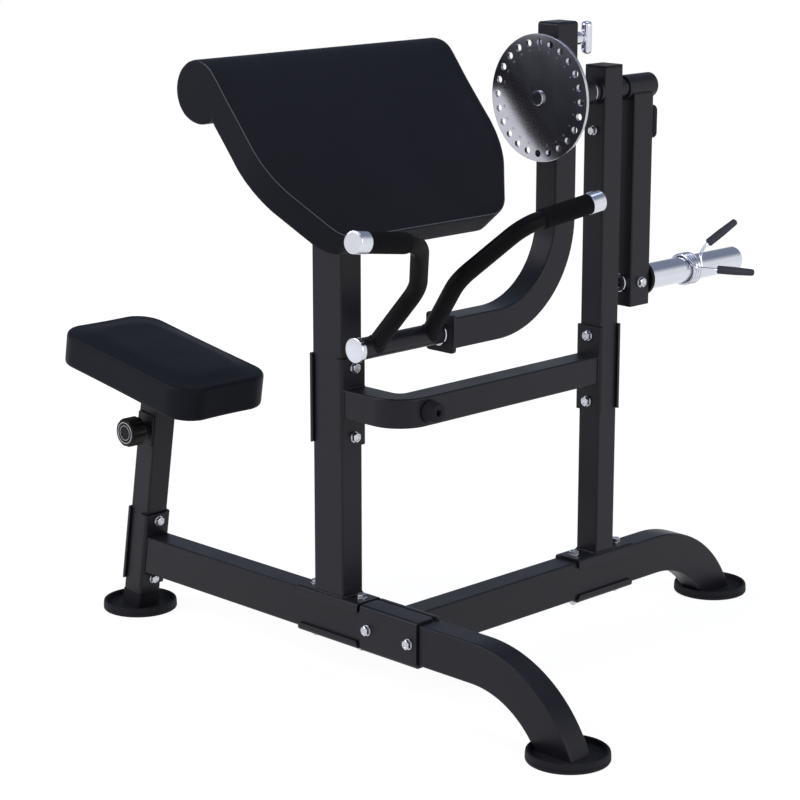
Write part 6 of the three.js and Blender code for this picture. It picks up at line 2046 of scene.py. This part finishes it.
@dataclass
class Handles:
    """The handle bar on its sleeve, with foam grips and chrome end caps."""

    radius: float = 15.6
    sleeve_radius: float = 19.0
    sleeve_start: float = 92.0
    sleeve_end: float = -97.7
    root: Triple = (6.4, 65.5, 3.8)
    elbow: Triple = (91.7, 47.7, 111.8)
    shoulder: Triple = (173.3, 125.3, 207.6)
    end: Triple = (193.2, 295.2, 233.1)
    elbow_radius: float = 70.0
    shoulder_radius: float = 75.0
    grip_start: float = 34.0
    grip_radius: float = 18.0
    cap_radius: float = 19.0
    cap_length: float = 28.5
    tube_short: float = 8.3

    def points(self, side: int) -> list[Vector]:
        """Places the root, elbow, shoulder and end of one side: 1 for +Y and -1 for -Y."""
        rows = (self.root, self.elbow, self.shoulder, self.end)
        return [at(SIDE_X + forward, side * aside, ARM_Z + up) for forward, aside, up in rows]

    def build(self) -> None:
        """Makes the bar, the grips and the caps."""
        section = Section(2 * self.radius, 2 * self.radius)
        parts = []
        for side in (-1, 1):
            corners = self.points(side)
            outwards = (corners[3] - corners[2]).normalized()
            corners[3] = corners[3] - outwards * self.tube_short * MM
            radii = [self.elbow_radius, self.shoulder_radius]
            parts.append(bent_bar("tube", corners, radii, section, X, 5.0))
        profile = rod(self.sleeve_radius, self.sleeve_start - self.sleeve_end)
        sleeve = turned("handle_sleeve_made", profile, on_side(self.sleeve_start, ARM_Z, -Y), 56)
        mount(sleeve, Body.HANDLES, PAINT, "handle_bar", ease=0.6)
        parts += [self.root_weld(side) for side in (-1, 1)]
        mount(joined("handle_tubes_made", *parts), Body.HANDLES, MATT, ease=0)
        for name, side in (("left", -1), ("right", 1)):
            self.grip(name, side)

    def root_weld(self, side: int) -> Piece:
        """Lays the bead where a handle's tube meets the sleeve.

        Args:
            side: 1 for +Y and -1 for -Y.

        Returns:
            The bead, which rides on both round surfaces.
        """
        root, elbow = self.points(side)[:2]
        heading = (elbow - root).normalized()
        line = []
        for point in ring_points(root, heading, self.radius, 48):
            local = point - at(SIDE_X, 0, ARM_Z)
            across = Vector((local.x, 0, local.z))
            way = Vector((heading.x, 0, heading.z))
            a, b = way.dot(way), across.dot(way)
            c = across.dot(across) - (self.sleeve_radius * MM) ** 2
            reach = (-b + sqrt(max(b * b - a * c, 0))) / a
            line.append(point + heading * reach)
        return weld_bead(line, 2.2)

    def grip(self, name: str, side: int) -> None:
        """Makes the foam grip and the chrome cap on one end.

        Args:
            name: left or right.
            side: 1 for +Y and -1 for -Y.
        """
        shoulder, end = self.points(side)[2:]
        outwards = (end - shoulder).normalized()
        start = shoulder + outwards * self.grip_start * MM
        length = (end - start).length / MM - self.cap_length - GAP
        r = self.grip_radius
        foam = turned(f"{name}_grip_made", [
            (15.8, 0), (r - 1.4, 2.5), (r - 0.4, 6), (r, 10), (r, length / 2), (r, length - 0.6),
            (r - 0.6, length),
        ], facing(start, outwards), 56)
        mount(foam, Body.HANDLES, FOAM, ease=0)
        cap_at = start + outwards * (length + GAP) * MM
        c, far = self.cap_radius, self.cap_length
        cap = turned(f"{name}_grip_cap_made", [
            (c - 0.8, 0), (c, 0.8), (c, far - 2.2), (c - 0.7, far - 0.7), (c - 2, far), (c - 3.2, far - 0.2),
            (8, far),
        ], facing(cap_at, outwards), 56)
        mount(cap, Body.HANDLES, CHROME, ease=0)


# Load side


@dataclass
class LoadArm:
    """The weight arm with its hub and rubber pad, the plate peg and its flange."""

    depth: float = 55.0
    bottom: float = 632.0
    top: float = 1031.0
    hub_radius: float = 23.5
    hub_start: float = 577.0
    hub_end: float = 656.0
    pad_low: float = 945.0
    pad_high: float = 1007.0
    pad_width: float = 50.0
    pad_thickness: float = 12.0
    peg_radius: float = 25.0
    peg_end: float = 930.0
    flange_radius: float = 33.0
    flange: float = 8.4

    def build(self) -> None:
        """Makes the arm, its pad, the peg and its flange."""
        ends = [at(SIDE_X, LOAD_Y, self.bottom), at(SIDE_X, LOAD_Y, self.top)]
        tube = bent_bar("tube", ends, [], Section(TUBE, self.depth, TUBE_CORNER), Y)
        length = self.hub_end - self.hub_start
        profile = rod(self.hub_radius, length) + [(15.6, length), (14.2, length - 1.4), (14.2, length - 8)]
        hub = turned("hub", profile, on_side(self.hub_start, PIVOT_Z), 64)
        welds = []
        for way in (-1, 1):
            edge = SIDE_X + sqrt(self.hub_radius**2 - (self.top - PIVOT_Z) ** 2) * way
            line = [at(edge, LOAD_Y + end * self.depth / 2, self.top) for end in (-1, 1)]
            welds.append(weld_bead(line, 3.2, closed=False))
        arm = joined("weight_arm_made", tube, hub, *welds)
        mount(arm, Body.LOAD_ARM, PAINT)
        middle = (self.pad_low + self.pad_high) / 2
        pad = flat_plate(
            "arm_bumper_made", self.pad_high - self.pad_low, self.pad_width, self.pad_thickness, 10,
            axes(at(SIDE_X, LOAD_Y + self.depth / 2 + GAP, middle), Z, X),
        )
        mount(pad, Body.LOAD_ARM, RUBBER, ease=2.4, smooth=50)
        self.peg()

    def peg(self) -> None:
        """Makes the plate peg with its stub through the arm, and the black flange at its root."""
        front = LOAD_Y - self.depth / 2 - GAP - 7
        back = LOAD_Y + self.depth / 2 + GAP
        shoulder = back + self.flange + GAP - front
        end = self.peg_end - front
        r = self.peg_radius
        peg = turned("weight_peg_made", [
            (9, 12), (9, 1), (10, 0), (16.5, 0), (17.5, 1), (17.5, 7), (15, 7), (15, shoulder), (r, shoulder),
            (r, end - 4), (r - 0.5, end - 2.2), (r - 1.6, end - 0.7), (r - 3.6, end), (r - 5, end - 0.1),
            (4, end),
        ], on_side(front, PEG_Z), 80)
        mount(peg, Body.LOAD_ARM, CHROME, ease=0)
        f = self.flange_radius
        flange = turned("peg_flange_made", [
            (f - 1, 0), (f, 1), (f, self.flange - 1.6), (f - 1.6, self.flange), (f - 5, self.flange),
            (f - 5.6, self.flange - 0.6), (26, self.flange - 0.6),
        ], on_side(back, PEG_Z), 72)
        mount(flange, Body.LOAD_ARM, PLASTIC, ease=0)


@dataclass
class SpringCollar:
    """The spring collar: a coil of wire on the peg and two rubber-sleeved arms to squeeze."""

    wire_radius: float = 3.0
    coil_radius: float = 28.6
    pitch: float = 7.4
    start_y: float = 766.0
    turns: float = 4.0
    start_degrees: float = 50.0
    end_degrees: float = 13.0
    steps_per_turn: int = 48
    lead: float = 22.0
    bend: float = 8.0
    upper: tuple[Triple, ...] = ((18.0, 50.0, 43.0), (47.0, 108.0, 88.0))
    lower: tuple[Triple, ...] = ((43.0, 47.0, 0.0), (93.0, 110.0, -8.4))
    grip_radius: float = 8.0

    def from_coil(self, place: Triple) -> Vector:
        """Places a point from the start of the coil on the peg's axis."""
        return at(SIDE_X + place[0], self.start_y + place[1], PEG_Z + place[2])

    def coil(self, degrees: float) -> Vector:
        """Gives the coil's point at an angle.

        Args:
            degrees: the angle from +X towards +Z, past a full turn for later turns.

        Returns:
            The point.
        """
        angle = radians(degrees)
        y = self.start_y + self.pitch * (degrees - self.start_degrees) / 360
        r = self.coil_radius
        return at(SIDE_X + r * cos(angle), y, PEG_Z + r * sin(angle))

    def arm(self, degrees: float, way: int, grip: tuple[Vector, Vector]) -> list[Vector]:
        """Leads the wire from the coil to the tip of its grip, round at its corners.

        Args:
            degrees: where on the coil it leaves.
            way: 1 if it leaves the way the coil turns, and -1 against it.
            grip: the root and tip of its sleeve.

        Returns:
            The points.
        """
        angle = radians(degrees)
        leaving = (Z * cos(angle) - X * sin(angle)) * way
        start = self.coil(degrees)
        root, tip = grip
        corners = [start, start + leaving * self.lead * MM, root, tip + (root - tip).normalized() * 4.3 * MM]
        line = [corners[0]]
        for before, corner, after in zip(corners, corners[1:], corners[2:]):
            arrive = (before - corner).normalized()
            leave = (after - corner).normalized()
            reach = self.bend * MM * 1.2
            for step in range(9):
                t = step / 8
                a = corner + arrive * reach * (1 - t)
                b = corner + leave * reach * t
                line.append(a.lerp(b, t))
        line.append(corners[-1])
        return line

    def build(self) -> None:
        """Makes the wire and its two sleeves."""
        end = 360 * self.turns + self.end_degrees
        steps = round((end - self.start_degrees) / 360 * self.steps_per_turn)
        span = end - self.start_degrees
        coil = [self.coil(self.start_degrees + span * i / steps) for i in range(1, steps)]
        grips = {
            "upper": tuple(self.from_coil(p) for p in self.upper),
            "lower": tuple(self.from_coil(p) for p in self.lower),
        }
        line = list(reversed(self.arm(self.start_degrees, -1, grips["lower"])))
        line += coil + self.arm(end, 1, grips["upper"])
        spring = wire("spring_collar_made", line, self.wire_radius, fineness=3)
        mount(spring, Body.COLLAR, CHROME, ease=0, smooth=60)
        for name, (root, tip) in grips.items():
            length = (tip - root).length / MM
            r = self.grip_radius
            profile = [
                (r - 1.2, 8), (r, 9.2), (r, length * 0.5), (r - 1.4, length - 4), (r - 2.4, length - 1.4),
                (2.5, length),
            ]
            sleeve = turned(f"collar_grip_{name}_made", profile, facing(root, (tip - root).normalized()), 32)
            mount(sleeve, Body.COLLAR, SLEEVE, ease=0, smooth=50)


# Studio


@dataclass
class Studio:
    """The plain studio: a pale floor that keeps the shadow, soft lamps, and the camera."""

    azimuth: float = 45.1834
    elevation: float = 13.6937
    lens: float = 110.13
    camera_place: Triple = (3077.455, -2901.094, 1551.985)
    # The floor and its shadow's reach are in metres.
    floor_size: float = 14.0
    floor_glow: float = 0.93
    shadow_reach: tuple[float, float] = (0.9, 2.2)
    fill: float = 0.55
    ceiling: str = "8991a5"
    ceiling_side: Triple = (-0.3, 0.1, 1.0)
    ceiling_start: float = 0.12
    ceiling_full: float = 0.6

    def build(self) -> None:
        """Sets the world, the floor, the lamps and the camera."""
        self.camera()
        self.world()
        self.floor()
        self.lamps()

    def camera(self) -> None:
        """Stands the camera where the photograph was taken from."""
        a, e = radians(self.azimuth), radians(self.elevation)
        back = Vector((sin(a) * cos(e), -cos(a) * cos(e), sin(e)))
        right = Vector((cos(a), sin(a), 0))
        data = bpy.data.cameras.new("camera")
        data.lens = self.lens
        data.sensor_width = 36
        data.clip_end = 60
        camera = linked("camera", data)
        camera.matrix_world = axes(at(*self.camera_place), right, back.cross(right))
        bpy.context.scene.camera = camera

    def seen(self, tree: Tree) -> Node:
        """Gives 1 for rays that show the background: straight, reflected or let through.

        Args:
            tree: the nodes to add to.

        Returns:
            The node with the answer.
        """
        path = add_node(tree, "LightPath").outputs
        rays = {0: path["Is Camera Ray"], 1: path["Is Glossy Ray"]}
        both = add_node(tree, "Math", rays, operation="MAXIMUM")
        return add_node(tree, "Math", {0: both, 1: path["Is Transmission Ray"]}, operation="MAXIMUM")

    def world(self) -> None:
        """Shows a white world under a cool dim ceiling, and lights the bench with a softer one."""
        world = bpy.data.worlds.new("studio")
        bpy.context.scene.world = world
        tree = emptied(world)
        strength = add_node(tree, "MapRange", {"Value": self.seen(tree), 3: self.fill, 4: 1.0})
        path = add_node(tree, "LightPath").outputs["Is Camera Ray"]
        hidden = add_node(tree, "Math", {0: 1.0, 1: path}, operation="SUBTRACT")
        ways = {0: add_node(tree, "TexCoord").outputs["Generated"], 1: self.ceiling_side}
        way = add_node(tree, "VectorMath", ways, operation="DOT_PRODUCT").outputs["Value"]
        rise = {"Value": way, 1: self.ceiling_start, 2: self.ceiling_full, 4: hidden}
        height = add_node(tree, "MapRange", rise, interpolation_type="SMOOTHSTEP")
        colours = {0: height, 6: linear("ffffff"), 7: linear(self.ceiling)}
        colour = add_node(tree, "Mix", colours, data_type="RGBA").outputs[2]
        light = add_node(tree, "Background", {"Color": colour, "Strength": strength})
        add_node(tree, "OutputWorld", {"Surface": light})

    def floor(self) -> None:
        """Lays the pale floor; its glow for straight and reflected rays makes it white round the shadow."""
        plane = primitive("studio_floor", bpy.ops.mesh.primitive_plane_add, size=self.floor_size)
        material = bpy.data.materials.new("white_studio_paper")
        tree = emptied(material)
        paper = add_node(tree, "BsdfDiffuse", {"Color": linear("f2f2f2")})
        place = add_node(tree, "TexCoord").outputs["Object"]
        reach = add_node(tree, "VectorMath", {0: place}, operation="LENGTH").outputs["Value"]
        near, far = self.shadow_reach
        glow = add_node(tree, "MapRange", {"Value": reach, 1: near, 2: far, 3: self.floor_glow, 4: 1.0})
        clear = add_node(tree, "Emission", {"Color": linear("ffffff"), "Strength": glow})
        dim = add_node(tree, "BsdfDiffuse", {"Color": linear("6b6b6b")})
        lit = add_node(tree, "AddShader", {0: clear, 1: dim})
        both = add_node(tree, "MixShader", {0: self.seen(tree), 1: paper, 2: lit})
        add_node(tree, "OutputMaterial", {"Surface": both})
        plane.data.materials.append(material)

    def lamps(self) -> None:
        """Hangs the square softboxes, their places and sizes in metres and their powers in watts."""
        # A wide key from the left of the camera, a cool soft top light and a low fill from the right
        for name, place, target, size, power, colour in (
            ("key_lamp", (-1.9, -3.4, 2.9), (0.0, 0.0, 0.6), 2.4, 105, "f6f4ff"),
            ("top_lamp", (0.4, 0.6, 4.2), (0.1, 0.2, 0.5), 2.6, 29, "dfe8ff"),
            ("right_lamp", (4.2, 0.2, 2.0), (0.1, 0.2, 0.6), 2.0, 60, "f4f4ff"),
        ):
            data = bpy.data.lights.new(name, "AREA")
            data.shape = "SQUARE"
            data.size = size
            data.energy = power
            data.color = linear(colour)[:3]
            linked(name, data).matrix_world = facing(Vector(place), Vector(place) - Vector(target))


def main() -> None:
    """Builds the studio and each sub-assembly in order."""
    logging.basicConfig(level=logging.INFO, format="%(message)s")
    bpy.context.scene.view_settings.view_transform = "Standard"
    assemblies = (
        Studio(), Rails(), Uprights(), CrossMember(), LooseBrackets(), Fasteners(), Feet(), Seat(),
        ArmPad(
            "arm_pad", "arm_pad_board", Body.FRAME, PAD, (67.4, 318.6, -165.6, 165.6),
            ROLL_RADIUS - SLAB_THICKNESS, 15,
        ),
        IndexDisc(), Lever(), Handles(), LoadArm(), SpringCollar(),
    )
    for assembly in assemblies:
        assembly.build()


if __name__ == "__main__":
    main()
